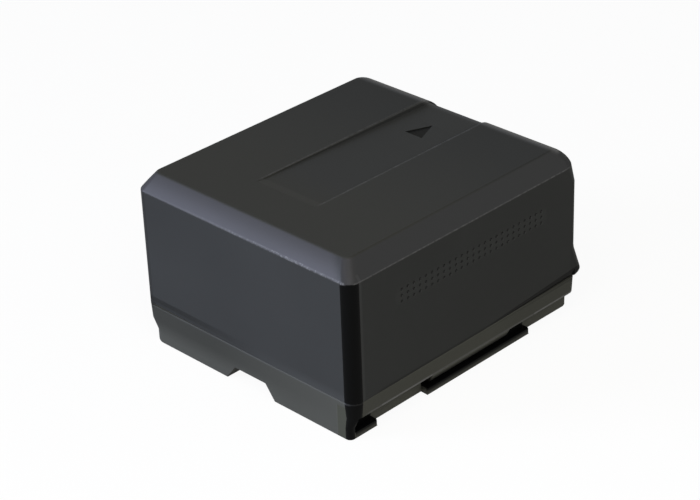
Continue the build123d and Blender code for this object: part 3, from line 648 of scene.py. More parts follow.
def base_finish(colours, size, upper):
    """Duller olive-black plastic of the base, glossy on a corner and in its hook slots and painted near-black there,
    partly as a dark reflection on the corner and as shade in the slots, with painted highlights along its edges.
    """
    finish = Finish("base_plastic")
    point = finish.place()
    x, y, z = finish.axes(point)
    post, front_lip, lip_start, lip_end = rail_places(size)
    slot_top = size.lip + size.slot
    web = HALF - size.web_inset
    clouds = finish.noise(point, 0.08, 3.0)
    grain = finish.noise(point, 4.0, 3.0, 0.65)
    ragged = finish.noise(point, 1.1, 4.0, 0.75)
    slope = finish.share(z, slot_top - size.post_shoulder, slot_top)
    wall = finish.share(z, slot_top, JOINT)
    radius = size.post_corner + slope * (size.wall_foot_corner - size.post_corner)
    radius = radius + wall * (upper.corner - size.wall_foot_corner)
    half = HALF - size.lip_inset + slope * size.lip_inset
    corner = upright_corner(finish, x, y, half, radius)
    # Hook slots: painted shade, black at their backs and on the lips, fading in below the wall; painted light on the
    # ribs and on the webs in the gaps.
    behind = finish.step(abs(x), web - 0.2, web - 0.05) * finish.step(y, post - 0.02, post + 0.02)
    lips = finish.between(y, post, front_lip) + finish.between(y, lip_start, lip_end)
    ribs = finish.between(y, lip_start + size.lip_run_in, lip_end - size.rear_pocket)
    slot = behind * lips * finish.step(z, size.lip - 0.8, size.lip - 0.1) * finish.step(z, slot_top, slot_top - 0.3)
    slot = slot * (1 - ribs * finish.step(z, slot_top - 2.0, slot_top - 1.2))
    under_wall = finish.step(z, slot_top - 0.02, slot_top - 0.1)
    lit_rib = behind * ribs * finish.step(z, slot_top - 1.5, slot_top - 0.5) * under_wall
    open_web_light = behind * (1 - lips) * under_wall
    polish_and_shade = (corner + slot).math("MINIMUM", 1.0)
    # Front: painted shade towards the joint on the left, a painted highlight along the joint.
    front = finish.step(y, FRONT + 0.3, FRONT + 0.1)
    front_shade = front * finish.share(z, 1.2, 3.4) * finish.share(x, 18.0, -6.0)
    # Painted highlight along the joint on the front's left
    rubbed = front * finish.near(over_joint(y, z, upper), -0.1, 0.2) * finish.step(x, -17.0, -11.0) * 0.07
    strip = front * finish.between(x, HALF - 3.2, HALF - 1.5) * finish.step(z, JOINT - 0.6, JOINT - 0.8)
    strip_edge = strip * finish.near(x, HALF - 3.15, 0.14) * 0.12
    # Painted highlight along the wall's foot
    foot_highlight = finish.near(z, slot_top + 0.05, 0.34) * finish.step(abs(x), HALF - 0.5, HALF - 0.2)
    foot_highlight = foot_highlight * finish.share(ragged, 0.0, 0.5) * (0.66 - lips * 0.34)
    foot_highlight = foot_highlight * finish.step(y, FRONT + 1.8, FRONT + 3.0)
    # Painted shadow on the base's top edge under the joint, towards the rear
    ledge_shadow = finish.step(abs(x), HALF - 0.6, HALF - 0.4) * finish.near(over_joint(y, z, upper), 0.0, 0.5)
    ledge_shadow = ledge_shadow * finish.share(y, 0.0, 16.0) * 0.42
    # Painted highlight along the joint across the corner
    corner_seam_highlight = corner * finish.near(over_joint(y, z, upper), -0.06, 0.14) * 0.06
    face = finish.blend(clouds, toned(colours.base, 0.86), toned(colours.base, 1.14))
    # Painted shade on the front towards the joint on the left
    face = finish.blend(front_shade, face, toned(colours.base, 0.58))
    face = finish.blend(strip, face, colours.dusty)
    # Painted light on the webs in the gaps and on the ribs
    face = finish.blend(open_web_light, face, toned(colours.base, 1.6))
    face = finish.blend(lit_rib, face, toned(colours.base, 2.6))
    # Painted shadow on the base's top edge under the joint
    face = finish.blend(ledge_shadow, face, toned(colours.base, 0.25))
    # Painted near-black on the glossy corner, partly a dark reflection, and painted shade in the hook slots
    base = finish.blend(polish_and_shade, face, colours.gloss_and_shade_black)
    # Painted highlights along the foot, the joint and the corner's seam, and a light stroke at the strip's edge
    base = finish.blend(foot_highlight + rubbed + strip_edge + corner_seam_highlight, base, colours.wear_and_highlight)
    rough = 0.52 + (grain - 0.5) * 0.12 - polish_and_shade * 0.3
    relief = finish.bump(grain * (1 - polish_and_shade), 0.014, 0.5)
    return finish.done(base, rough, relief, Specular_IOR_Level=0.12)


def label_finish(colours):
    """Plain matt film with a slight orange peel."""
    finish = Finish("label_film")
    point = finish.place()
    peel = finish.noise(point, 1.2, 2.0)
    tone = finish.noise(point, 0.15, 2.0)
    base = finish.blend(tone, toned(colours.label, 0.9), toned(colours.label, 1.1))
    return finish.done(base, 0.42 + (peel - 0.5) * 0.1, finish.bump(peel, 0.01, 0.4), Specular_IOR_Level=0.4)


def metal_finish(name, shade, grain_scale, stretch, rough):
    """Plated or rolled metal with a fine lengthwise grain."""
    finish = Finish(name)
    point = finish.place()
    grain = finish.noise(finish.stretched(point, stretch), grain_scale, 3.0, 0.6)
    stain = finish.noise(point, 0.4, 3.0, 0.6)
    base = finish.blend(stain, toned(shade, 0.82), toned(shade, 1.06))
    return finish.done(base, rough + (grain - 0.5) * 0.16, finish.bump(grain, 0.004, 0.4), metallic=1.0)


def film_finish(colours):
    """Shrunk film with faint ripples round the cell."""
    finish = Finish("sleeve_film")
    point = finish.place()
    ripple = finish.noise(finish.stretched(point, (1.0, 0.25, 1.0)), 0.9, 2.0)
    tone = finish.noise(point, 0.2, 2.0)
    base = finish.blend(tone, toned(colours.sleeve, 0.85), toned(colours.sleeve, 1.15))
    return finish.done(base, 0.24 + (ripple - 0.5) * 0.1, finish.bump(ripple, 0.03, 0.4), Coat_Weight=0.3)


def card_finish(name, shade):
    """Pressed card with short fibres."""
    finish = Finish(name)
    point = finish.place()
    fibre = finish.noise(finish.stretched(point, (1.0, 4.0, 2.5)), 2.2, 4.0, 0.7)
    tone = finish.noise(point, 0.3, 2.0)
    base = finish.blend(fibre * 0.7 + tone * 0.3, toned(shade, 0.8), toned(shade, 1.15))
    return finish.done(base, 0.82 + (fibre - 0.5) * 0.1, finish.bump(fibre, 0.015, 0.5))


def foam_finish(colours):
    """Closed-cell foam."""
    finish = Finish("foam")
    point = finish.place()
    bubbles = finish.cells(point, 2.6)
    base = finish.blend(bubbles, toned(colours.foam, 1.3), toned(colours.foam, 0.6))
    return finish.done(base, 0.88 + bubbles * 0.08, finish.bump(1 - bubbles, 0.06, 0.6))


def board_finish(colours):
    """Green resist over copper tracks."""
    finish = Finish("board_laminate")
    point = finish.place()
    x, y, z = finish.axes(point)
    lanes = finish.node(
        "ShaderNodeTexBrick", {"offset": 0.5, "squash": 1.0},
        {"Vector": point, "Scale": 0.45, "Mortar Size": 0.06, "Mortar Smooth": 0.2, "Brick Width": 1.4, "Row Height": 0.6},
        output="Fac",
    )
    tone = finish.noise(point, 0.5, 2.0)
    resist = finish.blend(tone, toned(colours.board, 0.85), toned(colours.board, 1.15))
    base = finish.blend(lanes, resist, toned(colours.board, 1.9))
    return finish.done(base, 0.34 + (tone - 0.5) * 0.1, finish.bump(lanes, 0.03, 0.6))


def moulded_finish(name, shade, rough, scale):
    """Small moulded or fired body with a fine grain."""
    finish = Finish(name)
    point = finish.place()
    grain = finish.noise(point, scale, 3.0, 0.6)
    tone = finish.noise(point, scale * 0.1, 2.0)
    base = finish.blend(tone, toned(shade, 0.85), toned(shade, 1.15))
    return finish.done(base, rough + (grain - 0.5) * 0.15, finish.bump(grain, 0.01, 0.5))


# Upper case
def upper_outside(size):
    """Outer form of the upper case with its edges softened."""
    bm = bmesh.new()
    shoulder = TOP - size.bevel_drop
    nose = JOINT + size.joint_rise + size.nose_height
    flare = nose + size.flare_rise
    lowest = ring(bm, JOINT, radius=size.corner)
    climb(bm, lowest, size.joint_rise)
    rings = [
        lowest,
        ring(bm, nose, rear=NOSE, radius=size.corner, rear_radius=size.nose_corner),
        ring(bm, flare, radius=size.corner),
        ring(bm, shoulder - size.rear_ease_drop, radius=size.corner),
    ]
    for step in range(BEVEL_STEPS + 1):
        share = step / BEVEL_STEPS
        bulge = 4 * share * (1 - share)
        rings.append(ring(
            bm, shoulder + share * size.bevel_drop, HALF - share * size.bevel_side,
            FRONT + share * size.bevel_front - bulge * size.front_crown,
            REAR - share * size.bevel_rear + bulge * size.rear_crown,
            size.corner + share * (size.top_corner - size.corner),
            rear_radius=size.corner + size.rear_ease + share * (size.top_corner - size.corner - size.rear_ease),
        ))
    loft(bm, rings)
    piece = piece_from(bm, "upper_case_shell")
    rear_rim = REAR - size.bevel_rear

    def width_of(edge, middle):
        level = abs(edge.verts[0].co.z - edge.verts[1].co.z) < 0.05
        if not level and abs(edge.verts[0].co.y - edge.verts[1].co.y) < LENGTH / 2:
            return 0.0
        if middle.z > TOP - 0.01:
            share = min(1.0, max(0.0, (middle.y - rear_rim + size.top_corner) / size.top_corner))
            return size.rim_round + (size.rear_rim_round - size.rim_round) * share
        if abs(middle.z - shoulder) < 0.01:
            return size.shoulder_round
        if abs(middle.z - flare) < 0.01:
            return size.flare_round
        if abs(middle.z - nose) < 0.01:
            return size.nose_round
        if middle.z < JOINT + size.joint_rise + 0.01:
            return size.joint_round
        return 0.0

    soften(piece, width_of, 4)
    return piece


def upper_hollow(size):
    """Room for the cells under the roof."""
    bm = bmesh.new()
    spring = TOP - size.roof - size.bevel_drop
    wall = size.wall
    walls = {"radius": size.inner_corner}
    loft(bm, [
        ring(bm, JOINT - PAST, HALF - wall, FRONT + wall, REAR - wall, **walls),
        ring(bm, spring, HALF - wall, FRONT + wall, REAR - wall, **walls),
        ring(
            bm, TOP - size.roof, HALF - wall - size.bevel_side, FRONT + wall + size.bevel_front,
            REAR - wall - size.bevel_rear, **walls,
        ),
    ])
    return bm


def tongue_outline(size, gap):
    """Form of the base's tongue, or with a gap the groove that takes it, filled in."""
    bm = bmesh.new()
    inset = size.skirt - gap
    low = JOINT - PAST
    high = JOINT + size.joint_rise + size.tongue + PAST
    corner = size.corner - size.skirt
    loft(bm, [ring(bm, z, HALF - inset, FRONT + inset, REAR - inset, corner) for z in (low, high)])
    cut_at_joint(bm, size.joint_rise, size.tongue + gap)
    return bm


def channel_floor(size, y):
    """Height of the channel's floor at y."""
    ramp_end = FRONT + size.channel_start + size.channel_ramp
    share = (y - ramp_end) / (REAR - ramp_end)
    return TOP - size.channel_ramp_depth - share * (size.channel_depth - size.channel_ramp_depth)


def channel_form(size):
    """Sloping channel on the top, open at the rear."""
    bm = bmesh.new()
    start = FRONT + size.channel_start
    side = -size.channel_width / 2
    prism(bm, [
        (side, start, TOP),
        (side, start + size.channel_ramp, TOP - size.channel_ramp_depth),
        (side, REAR, TOP - size.channel_depth),
        (side, REAR, TOP + PAST),
        (side, start, TOP + PAST),
    ], (size.channel_width, 0, 0))
    return bm


def channel_edge_form(size):
    """What is cut from the channel's left edge, which leans more and more towards the rear."""
    bm = bmesh.new()
    side = -size.channel_width / 2
    loops = []
    for y, lean in ((FRONT + size.channel_start + size.channel_ramp, OVERLAP), (REAR, size.channel_lean)):
        outline = [(side + PAST, TOP + PAST), (side - lean - PAST, TOP + PAST), (side - lean, TOP), (side, TOP - lean)]
        verts = [bm.verts.new((x, y, z)) for x, z in [*outline, (side + PAST, TOP - lean)]]
        loops += [bm.edges.new(pair) for pair in zip(verts, verts[1:] + verts[:1])]
    bmesh.ops.bridge_loops(bm, edges=loops)
    close(bm)
    return bm


def channel_rear_form(size):
    """What the channel takes off the rear bevel's bulge."""
    bm = bmesh.new()
    left = -size.channel_width / 2 - size.channel_lean
    foot = TOP - size.bevel_drop - size.channel_run_out
    outline = (
        (left, REAR - size.channel_rear, TOP), (left, REAR, foot), (left, REAR + PAST, foot),
        (left, REAR + PAST, TOP + PAST), (left, REAR - size.channel_rear, TOP + PAST),
    )
    prism(bm, outline, (size.channel_width + size.channel_lean, 0, 0))
    return bm


def arrow_form(size):
    """Sunk triangle that points the way the pack slides on."""
    bm = bmesh.new()
    base = REAR - size.arrow_place
    low = channel_floor(size, base) - size.arrow_depth
    half = size.arrow_width / 2
    prism(bm, [(-half, base, low), (half, base, low), (0, base + size.arrow_length, low)], (0, 0, PAST))
    return bm


def grip_form(size, group):
    """Rows of dimples on both sides."""
    bm = bmesh.new()
    turn = Matrix.Rotation(math.pi / 2, 4, "Y")
    for row in range(group.grip_rows):
        z = TOP - size.grip_drop + size.grip_row_pitch * (row - (group.grip_rows - 1) / 2)
        for column in range(group.grip_columns):
            y = FRONT + size.grip_start + size.grip_pitch * column
            bmesh.ops.create_cone(
                bm, cap_ends=True, segments=6, depth=2 * size.grip_depth,
                radius1=size.grip_dimple * 0.35, radius2=size.grip_dimple * 0.65,
                matrix=Matrix.Translation((HALF, y, z)) @ turn,
            )
    both_sides(bm)
    return bm


def relief_form(size):
    """Facets over the joint that lean in to it: across the front and along the right side."""
    bm = bmesh.new()
    slope = size.joint_rise / LENGTH
    stop = REAR - size.side_relief_stop
    start = stop - size.side_relief
    deep = (size.relief_height, size.relief_depth)
    low = (size.relief_low_height, size.relief_low_depth)

    def outline(joint, height, depth):
        return [(PAST, joint - PAST), (-depth, joint - PAST), (-depth, joint), (0, joint + height), (PAST, joint + height)]

    def wedge(first, second):
        loops = []
        for points in (first, second):
            verts = [bm.verts.new(p) for p in points]
            loops += [bm.edges.new((a, b)) for a, b in zip(verts, verts[1:] + verts[:1])]
        bmesh.ops.bridge_loops(bm, edges=loops)

    near = -HALF + size.front_relief
    front_height = size.front_relief_height
    wedge(
        [(-HALF - PAST, FRONT - out, z) for out, z in outline(JOINT, front_height, size.relief_depth)],
        [(near, FRONT - out, z) for out, z in outline(JOINT, front_height, size.relief_low_depth)],
    )
    wedge(
        [(HALF + out, start, z) for out, z in outline(JOINT + slope * (start - FRONT), *low)],
        [(HALF + out, stop, z) for out, z in outline(JOINT + slope * (stop - FRONT), *deep)],
    )
    close(bm)
    return bm


class BATTERY_OT_upper_case(bpy.types.Operator):
    """Upper half of the case, with its bevel, channel, arrow and grip dimples"""

    bl_idname = "battery.upper_case"
    bl_label = "Upper case"

    def execute(self, context):
        group = context.scene.battery_upper
        size = Millimetres(group)
        piece = upper_outside(size)
        combine(piece, upper_hollow(size))
        combine(piece, tongue_outline(size, size.fit))
        combine(piece, channel_form(size))
        combine(piece, relief_form(size))
        side = size.channel_width / 2

        def width_of(edge, middle):
            long_edge = abs(abs(middle.x) - side) < 0.01 and middle.z > TOP - 0.2 and edge.calc_length() > 5
            return size.channel_round if long_edge and edge.is_convex else 0.0

        soften(piece, width_of, 3)
        combine(piece, channel_edge_form(size))
        combine(piece, channel_rear_form(size))
        combine(piece, arrow_form(size))
        combine(piece, grip_form(size, group))
        complete(piece, "upper_case", upper_finish(context.scene.battery_colours, size))
        return {"FINISHED"}


# Base
def base_outside(size, upper):
    """Flush wall over narrower rails, with sloping shoulders between them."""
    bm = bmesh.new()
    slot_top = size.lip + size.slot
    shoulder = slot_top - size.post_shoulder
    narrow = HALF - size.lip_inset
    posts = {
        "radius": size.post_corner, "left_radius": size.left_post_corner, "rear_radius": size.rear_post_corner,
    }
    foot = {
        "radius": size.wall_foot_corner, "left_radius": size.left_foot_corner, "rear_radius": size.rear_foot_corner,
    }
    loft(bm, [
        ring(bm, 0.0, narrow, **posts),
        ring(bm, shoulder, narrow, **posts),
        ring(bm, slot_top, **foot),
        ring(bm, JOINT, radius=upper.corner),
        ring(bm, JOINT + PAST, radius=upper.corner),
    ])
    cut_at_joint(bm, upper.joint_rise, 0.0)
    piece = piece_from(bm, "base_shell")

    def width_of(edge, middle):
        level = abs(edge.verts[0].co.z - edge.verts[1].co.z) < 0.05
        if not level and abs(edge.verts[0].co.y - edge.verts[1].co.y) < LENGTH / 2:
            return 0.0
        if middle.z < 0.01:
            return size.foot_round
        if middle.z > JOINT - 0.01:
            return upper.joint_round
        return 0.0

    soften(piece, width_of, 3)
    return piece


def rear_foot_form(size):
    """What is cut under the rear to round its lower edge."""
    bm = bmesh.new()
    radius = size.rear_foot_round
    middle = Vector((-HALF - PAST, REAR - radius + OVERLAP, radius - OVERLAP))
    bmesh.ops.spin(
        bm, geom=[bm.verts.new(middle + Vector((0, radius, 0)))], cent=middle, axis=(1, 0, 0),
        angle=-math.pi / 2, steps=BEVEL_STEPS,
    )
    arc = bm.verts[:]
    arc.sort(key=lambda vert: vert.co.y)
    below = bm.verts.new(arc[0].co - Vector((0, 0, PAST)))
    behind = bm.verts.new(arc[-1].co + Vector((0, PAST, 0)))
    corner = bm.verts.new((middle.x, behind.co.y, below.co.z))
    face = bm.faces.new([*arc, behind, corner, below])
    grown = bmesh.ops.extrude_face_region(bm, geom=[face])["geom"]
    far = [vert for vert in grown if isinstance(vert, bmesh.types.BMVert)]
    bmesh.ops.translate(bm, verts=far, vec=(2 * HALF + 2 * PAST, 0, 0))
    bmesh.ops.recalc_face_normals(bm, faces=bm.faces[:])
    return bm


def rail_places(size):
    """Stations along a hook rail."""
    post = FRONT + size.post
    front_lip = post + size.front_pocket
    lip_start = front_lip + size.rail_gap
    lip_end = lip_start + size.centre_lip
    return post, front_lip, lip_start, lip_end


def slot_form(size):
    """Hook slots and the gaps in their lips, on both sides."""
    bm = bmesh.new()
    post, front_lip, lip_start, lip_end = rail_places(size)
    top = size.lip + size.slot
    web = HALF - size.web_inset
    rib_start = lip_start + size.lip_run_in
    rib_end = lip_end - size.rear_pocket
    front_run = [
        (post, size.lip), (front_lip, size.lip), (front_lip, -PAST), (lip_start, -PAST),
        (lip_start, size.lip), (rib_start, size.lip), (rib_start, top), (post, top),
    ]
    rear_run = [
        (rib_end, size.lip), (lip_end, size.lip), (lip_end, -PAST),
        (REAR + PAST, -PAST), (REAR + PAST, top), (rib_end, top),
    ]
    for run in (front_run, rear_run):
        prism(bm, [(web, y, z) for y, z in run], (size.web_inset + PAST, 0, 0))
    both_sides(bm)
    return bm


def rib_form(size):
    """What is cut in front of the sloping ribs between the pockets."""
    bm = bmesh.new()
    post, front_lip, lip_start, lip_end = rail_places(size)
    top = size.lip + size.slot
    start = lip_start + size.lip_run_in - OVERLAP
    end = lip_end - size.rear_pocket + OVERLAP
    outline = [
        (HALF + PAST, start, top),
        (HALF - size.rib_top, start, top),
        (HALF - size.rib_low, start, size.lip),
        (HALF + PAST, start, size.lip),
    ]
    prism(bm, outline, (0, end - start, 0))
    both_sides(bm)
    return bm


def room_form(size, upper):
    """Room over the rails."""
    bm = bmesh.new()
    wall = upper.wall
    shelf_top = size.lip + size.slot + size.shelf
    levels = (shelf_top, JOINT + upper.tongue + 2 * PAST)
    loft(bm, [ring(bm, z, HALF - wall, FRONT + wall, REAR - wall, upper.inner_corner) for z in levels])
    return bm


def pit_form(size, upper):
    """Pit between the rails."""
    bm = bmesh.new()
    half = HALF - size.web_inset - size.rail_wall
    low = (-half, FRONT + upper.wall, size.floor)
    block(bm, low, (half, REAR - upper.wall, JOINT + upper.tongue + 2 * PAST))
    return bm


def fittings(size, upper):
    """Saddles, board posts and the notch's housing, which stand on the floor."""
    cell_low, cell_high = box_of("right_cell_sleeve")
    board_low, board_high = box_of("circuit_board")
    cell = (cell_low + cell_high) / 2
    radius = (cell_high.x - cell_low.x) / 2
    ends = box_of("right_cell")
    inner = board_high.x + size.board_room
    outer = HALF - size.web_inset - size.rail_wall + OVERLAP
    ribs = bmesh.new()
    for y in (ends[0].y + size.saddle_place, ends[1].y - size.saddle_place):
        half = size.saddle_wall / 2
        block(ribs, (inner, y - half, size.floor - OVERLAP), (outer, y + half, cell.z - size.saddle_drop))
    both_sides(ribs)
    piece = piece_from(ribs, "ribs")
    seats = bmesh.new()
    turn = Matrix.Rotation(math.pi / 2, 4, "X")
    bmesh.ops.create_cone(
        seats, cap_ends=True, segments=64, radius1=radius + size.saddle_room, radius2=radius + size.saddle_room,
        depth=LENGTH, matrix=Matrix.Translation((cell.x, 0, cell.z)) @ turn,
    )
    both_sides(seats)
    combine(piece, seats)
    bm = bmesh.new()
    bm.from_mesh(piece.data)
    bpy.data.objects.remove(piece)
    edge = size.board_room
    right = board_high.x - edge
    for y in (board_low.y + edge, board_high.y - edge - size.board_post):
        for x in (right - size.board_post, -right):
            high = (x + size.board_post, y + size.board_post, board_low.z)
            block(bm, (x, y, size.floor - OVERLAP), high)
    house = size.notch_width / 2 + size.notch_wall
    block(
        bm, (size.notch_middle - house, FRONT + upper.wall - OVERLAP, size.floor - OVERLAP),
        (size.notch_middle + house, FRONT + size.notch_depth + size.notch_wall, size.notch_height + size.notch_wall),
    )
    return bm


def tongue_form(size, upper):
    """Rim that stands up inside the upper case."""
    piece = piece_from(tongue_outline(upper, 0.0), "rim")
    combine(piece, room_form(size, upper))
    low = bmesh.new()
    block(low, (-HALF, FRONT, JOINT - 2 * PAST), (HALF, REAR, size.lip + size.slot + size.shelf + OVERLAP))
    combine(piece, low)
    bm = bmesh.new()
    bm.from_mesh(piece.data)
    bpy.data.objects.remove(piece)
    return bm


def notch_form(size):
    """Latch notch with sloping sides."""
    bm = bmesh.new()
    roof = size.notch_roof / 2
    spread = (size.notch_width - size.notch_roof) / 2
    low = roof + spread * (1 + PAST / size.notch_height)
    middle = size.notch_middle
    y = FRONT - PAST
    outline = [
        (middle - low, y, -PAST), (middle + low, y, -PAST),
        (middle + roof, y, size.notch_height), (middle - roof, y, size.notch_height),
    ]
    prism(bm, outline, (0, size.notch_depth + PAST, 0))
    return bm


def window_form(size):
    """Windows for the contacts, through the rear wall and the floor."""
    bm = bmesh.new()
    half = size.window / 2
    for place in range(4):
        x = size.window_pitch * (place - 1.5)
        block(
            bm, (x - half, REAR - size.window_length, -PAST),
            (x + half, REAR + PAST, size.floor + size.window_height),
        )
    return bm


def recess_form(size):
    """Shallow recess for the label."""
    bm = bmesh.new()
    margin = size.label_margin
    half = LABEL_HIGH.x + margin
    front, rear = LABEL_LOW.y - margin, LABEL_HIGH.y + margin
    loft(bm, [ring(bm, z, half, front, rear, size.label_corner) for z in (-PAST, size.label_recess)])
    return bm


class BATTERY_OT_base(bpy.types.Operator):
    """Lower half of the case, with its hook rails, latch notch and contact windows"""

    bl_idname = "battery.base"
    bl_label = "Base"

    def execute(self, context):
        size = Millimetres(context.scene.battery_base)
        upper = Millimetres(context.scene.battery_upper)
        piece = base_outside(size, upper)
        combine(piece, rear_foot_form(size))
        combine(piece, slot_form(size))
        combine(piece, rib_form(size))
        combine(piece, room_form(size, upper))
        combine(piece, pit_form(size, upper))
        combine(piece, tongue_form(size, upper), "UNION")
        combine(piece, fittings(size, upper), "UNION")
        combine(piece, notch_form(size))
        combine(piece, window_form(size))
        combine(piece, recess_form(size))
        web = HALF - size.web_inset
        lip = HALF - size.lip_inset
        post = rail_places(size)[0]
        slot_top = size.lip + size.slot

        def width_of(edge, middle):
            outside = abs(middle.x) > web - 0.01 or middle.y < FRONT + 0.01 or middle.y > REAR - 0.01
            outside = outside and middle.z < slot_top + 0.05
            turned = edge.is_convex and edge.calc_face_angle(0.0) > math.radians(35)
            if abs(abs(middle.x) - lip) < 0.05 and middle.z < size.lip + 0.05 and middle.y > post - 0.1 and turned:
                return size.lip_round
            return size.edge_round if outside and turned and edge.calc_length() > 0.5 else 0.0

        soften(piece, width_of, 2)
        complete(piece, "base_case", base_finish(context.scene.battery_colours, size, upper))
        return {"FINISHED"}


class BATTERY_OT_label(bpy.types.Operator):
    """Finish of the plain label under the base"""

    bl_idname = "battery.label"
    bl_label = "Label"

    def execute(self, context):
        dress(label_finish(context.scene.battery_colours), "bottom_label")
        return {"FINISHED"}


class BATTERY_OT_cells(bpy.types.Operator):
    """Finishes of the cells, their sleeves and their card rings"""

    bl_idname = "battery.cells"
    bl_label = "Cells"

    def execute(self, context):
        colours = context.scene.battery_colours
        dress(metal_finish("can_steel", colours.steel, 3.0, (1.0, 0.1, 1.0), 0.3), "left_cell", "right_cell")
        dress(film_finish(colours), "left_cell_sleeve", "right_cell_sleeve")
        dress(card_finish("washer_card", colours.washer), "left_cell_washer", "right_cell_washer")
        return {"FINISHED"}


class BATTERY_OT_foam(bpy.types.Operator):
    """Foam strips over the cells, with soft edges"""

    bl_idname = "battery.foam"
    bl_label = "Foam strips"

    def execute(self, context):
        finish = foam_finish(context.scene.battery_colours)
        for node in ("front_roof_pad", "rear_roof_pad"):
            bm = bmesh.new()
            block(bm, *box_of(node))
            piece = piece_from(bm, node + "_foam")
            soften(piece, lambda edge, middle: 0.35, 4)
            complete(piece, node, finish)
        return {"FINISHED"}


class BATTERY_OT_strips(bpy.types.Operator):
    """Finishes of the nickel strips and the card sheets"""

    bl_idname = "battery.strips"
    bl_label = "Strips and sheets"

    def execute(self, context):
        colours = context.scene.battery_colours
        nickel = metal_finish("nickel", colours.nickel, 2.4, (0.15, 1.0, 1.0), 0.34)
        dress(nickel, "series_link", "negative_tab", "positive_tab")
        card = card_finish("insulating_card", colours.card)
        dress(card, "front_end_sheet", "rear_end_sheet", "board_sheet")
        return {"FINISHED"}


class BATTERY_OT_board(bpy.types.Operator):
    """Finishes of the circuit board and the parts on it"""

    bl_idname = "battery.board"
    bl_label = "Circuit board"

    def execute(self, context):
        colours = context.scene.battery_colours
        dress(board_finish(colours), "circuit_board")
        dress(moulded_finish("chip_resin", colours.resin, 0.5, 6.0), "protection_chip", "switch_transistor")
        dress(moulded_finish("resistor_body", colours.resistor, 0.25, 4.0), "identity_resistor", "sense_resistor")
        dress(moulded_finish("capacitor_ceramic", colours.ceramic, 0.4, 5.0), "filter_capacitor", "thermistor")
        dress(moulded_finish("fuse_body", colours.fuse, 0.45, 3.0), "resettable_fuse")
        return {"FINISHED"}


class BATTERY_OT_terminals(bpy.types.Operator):
    """Finishes of the terminal block and its contacts"""

    bl_idname = "battery.terminals"
    bl_label = "Terminals"

    def execute(self, context):
        colours = context.scene.battery_colours
        dress(moulded_finish("block_plastic", colours.block, 0.5, 4.0), "terminal_block")
        gold = metal_finish("contact_metal", colours.gold, 5.0, (1.0, 0.2, 1.0), 0.24)
        dress(gold, "positive_contact", "data_contact", "temperature_contact", "negative_contact")
        return {"FINISHED"}


# Stage
MIRRORED = 0.18
CAMERA_PLACE = (181.475, -181.0, 155.268)
CAMERA_RIGHT = (0.71358, 0.69975, -0.03402)
CAMERA_UP = (-0.32172, 0.37044, 0.87136)
CAMERA_BACK = (0.62233, -0.61084, 0.48946)


def seen_white(finish, camera_share, mirror_share):
    """Share of a ray that meets plain white: of one from the camera, and of a mirrored or refracted one."""
    path = finish.node("ShaderNodeLightPath").socket.node
    camera, glossy, through = (
        Signal(finish, path.outputs[name]) for name in ("Is Camera Ray", "Is Glossy Ray", "Is Transmission Ray")
    )
    return (camera * camera_share + (glossy + through) * mirror_share).math("MINIMUM", 1.0)


def make_floor():
    """Pale floor under the pack."""
    bm = bmesh.new()
    bmesh.ops.create_grid(bm, x_segments=1, y_segments=1, size=1.5)
    bmesh.ops.translate(bm, verts=bm.verts[:], vec=(0, 0, -0.00002))
    floor = piece_from(bm, "floor")
    finish = Finish("floor_white")
    camera = finish.node("ShaderNodeLightPath", output="Is Camera Ray")
    shade = finish.blend(camera, (0.3, 0.3, 0.28), (0.9, 0.9, 0.9))
    lit = finish.node("ShaderNodeBsdfDiffuse", {}, {"Color": shade})
    white = finish.node("ShaderNodeEmission", {}, {"Color": (1, 1, 1, 1), "Strength": 1.0})
    mixed = finish.node("ShaderNodeMixShader", {}, {0: seen_white(finish, 0.93, MIRRORED), 1: lit, 2: white})
    finish.node("ShaderNodeOutputMaterial", {}, {"Surface": mixed})
    floor.data.materials.append(finish.material)


def make_room(stage):
    """White room for the camera, a dimmer one for the light that it gives."""
    world = bpy.data.worlds.new("room")
    bpy.context.scene.world = world
    world.use_nodes = True
    world.node_tree.nodes.clear()
    finish = Finish.__new__(Finish)
    finish.material = world
    finish.tree = world.node_tree
    white = seen_white(finish, 1.0, MIRRORED)
    strength = white * (1.0 - stage.room) + stage.room
    shade = finish.blend(white, (1.0, 1.0, 0.93), (1.0, 1.0, 1.0))
    light = finish.node("ShaderNodeBackground", {}, {"Color": shade, "Strength": strength})
    finish.node("ShaderNodeOutputWorld", {}, {"Surface": light})


def make_lamp(name, place, size, power, shade):
    """Soft square lamp that looks at the pack."""
    lamp = bpy.data.lights.new(name, "AREA")
    lamp.size = size
    lamp.energy = power
    lamp.color = shade
    holder = bpy.data.objects.new(name, lamp)
    bpy.context.scene.collection.objects.link(holder)
    holder.location = place
    holder.rotation_euler = (Vector((0, 0, 0.012)) - Vector(place)).to_track_quat("-Z", "Y").to_euler()


def make_camera(stage):
    """Camera at the photograph's place and angle."""
    camera = bpy.data.cameras.new("camera")
    camera.sensor_fit = "HORIZONTAL"
    camera.sensor_width = 36.0
    camera.lens = stage.lens
    camera.clip_start = 0.01
    camera.clip_end = 10.0
    holder = bpy.data.objects.new("camera", camera)
    bpy.context.scene.collection.objects.link(holder)
    turn = Matrix((CAMERA_RIGHT, CAMERA_UP, CAMERA_BACK)).transposed().to_4x4()
    holder.matrix_world = Matrix.Translation(Vector(CAMERA_PLACE) * MM) @ turn
    bpy.context.scene.camera = holder


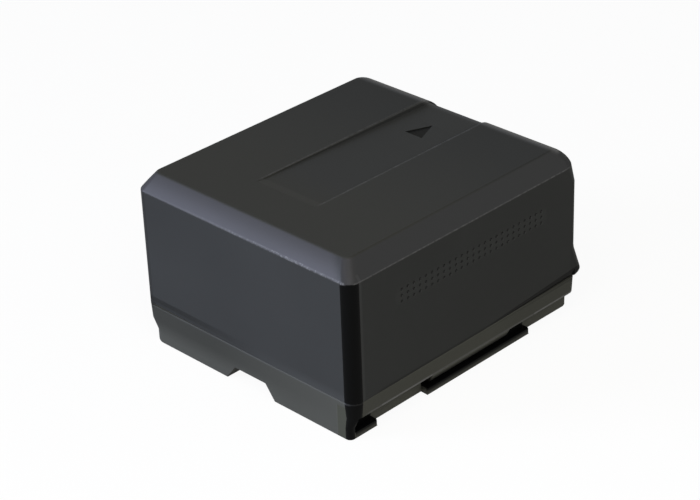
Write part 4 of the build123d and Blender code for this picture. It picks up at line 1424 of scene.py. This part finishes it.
class BATTERY_OT_stage(bpy.types.Operator):
    """Pale floor, soft lamps, white room and the camera"""

    bl_idname = "battery.stage"
    bl_label = "Stage"

    def execute(self, context):
        stage = context.scene.battery_stage
        make_floor()
        make_room(stage)
        make_lamp("key", (-0.5, -0.7, 0.22), 0.34, stage.key, (0.7, 0.78, 1.0))
        make_lamp("fill", (0.13, -0.15, 0.22), 0.32, stage.fill, (1.0, 0.98, 0.92))
        make_lamp("back", (0.35, 0.35, 0.25), 0.3, stage.back, (1.0, 1.0, 0.95))
        make_camera(stage)
        context.scene.view_settings.view_transform = "Standard"
        return {"FINISHED"}


class BATTERY_PT_panel(bpy.types.Panel):
    """Lists the operators and the sizes of the battery"""

    bl_idname = "BATTERY_PT_panel"
    bl_label = "Camera battery"
    bl_space_type = "VIEW_3D"
    bl_region_type = "UI"
    bl_category = "Battery"

    def draw(self, context):
        for operator in OPERATORS:
            self.layout.operator(operator.bl_idname)
        for name in GROUPS:
            group = getattr(context.scene, name)
            column = self.layout.column(heading=name)
            for key in group.bl_rna.properties.keys():
                if key not in ("rna_type", "name"):
                    column.prop(group, key)


GROUPS = {
    "battery_upper": BatteryUpperSizes,
    "battery_base": BatteryBaseSizes,
    "battery_colours": BatteryColours,
    "battery_stage": BatteryStage,
}
OPERATORS = (
    BATTERY_OT_upper_case,
    BATTERY_OT_base,
    BATTERY_OT_label,
    BATTERY_OT_cells,
    BATTERY_OT_foam,
    BATTERY_OT_strips,
    BATTERY_OT_board,
    BATTERY_OT_terminals,
    BATTERY_OT_stage,
)
CLASSES = (*GROUPS.values(), *OPERATORS, BATTERY_PT_panel)


def register():
    for cls in CLASSES:
        bpy.utils.register_class(cls)
    for name, cls in GROUPS.items():
        setattr(bpy.types.Scene, name, bpy.props.PointerProperty(type=cls))


def unregister():
    for name in GROUPS:
        delattr(bpy.types.Scene, name)
    for cls in reversed(CLASSES):
        bpy.utils.unregister_class(cls)


def main():
    register()
    bpy.ops.battery.stage()
    bpy.ops.battery.upper_case()
    bpy.ops.battery.base()
    bpy.ops.battery.label()
    bpy.ops.battery.cells()
    bpy.ops.battery.foam()
    bpy.ops.battery.strips()
    bpy.ops.battery.board()
    bpy.ops.battery.terminals()


if __name__ == "__main__":
    main()
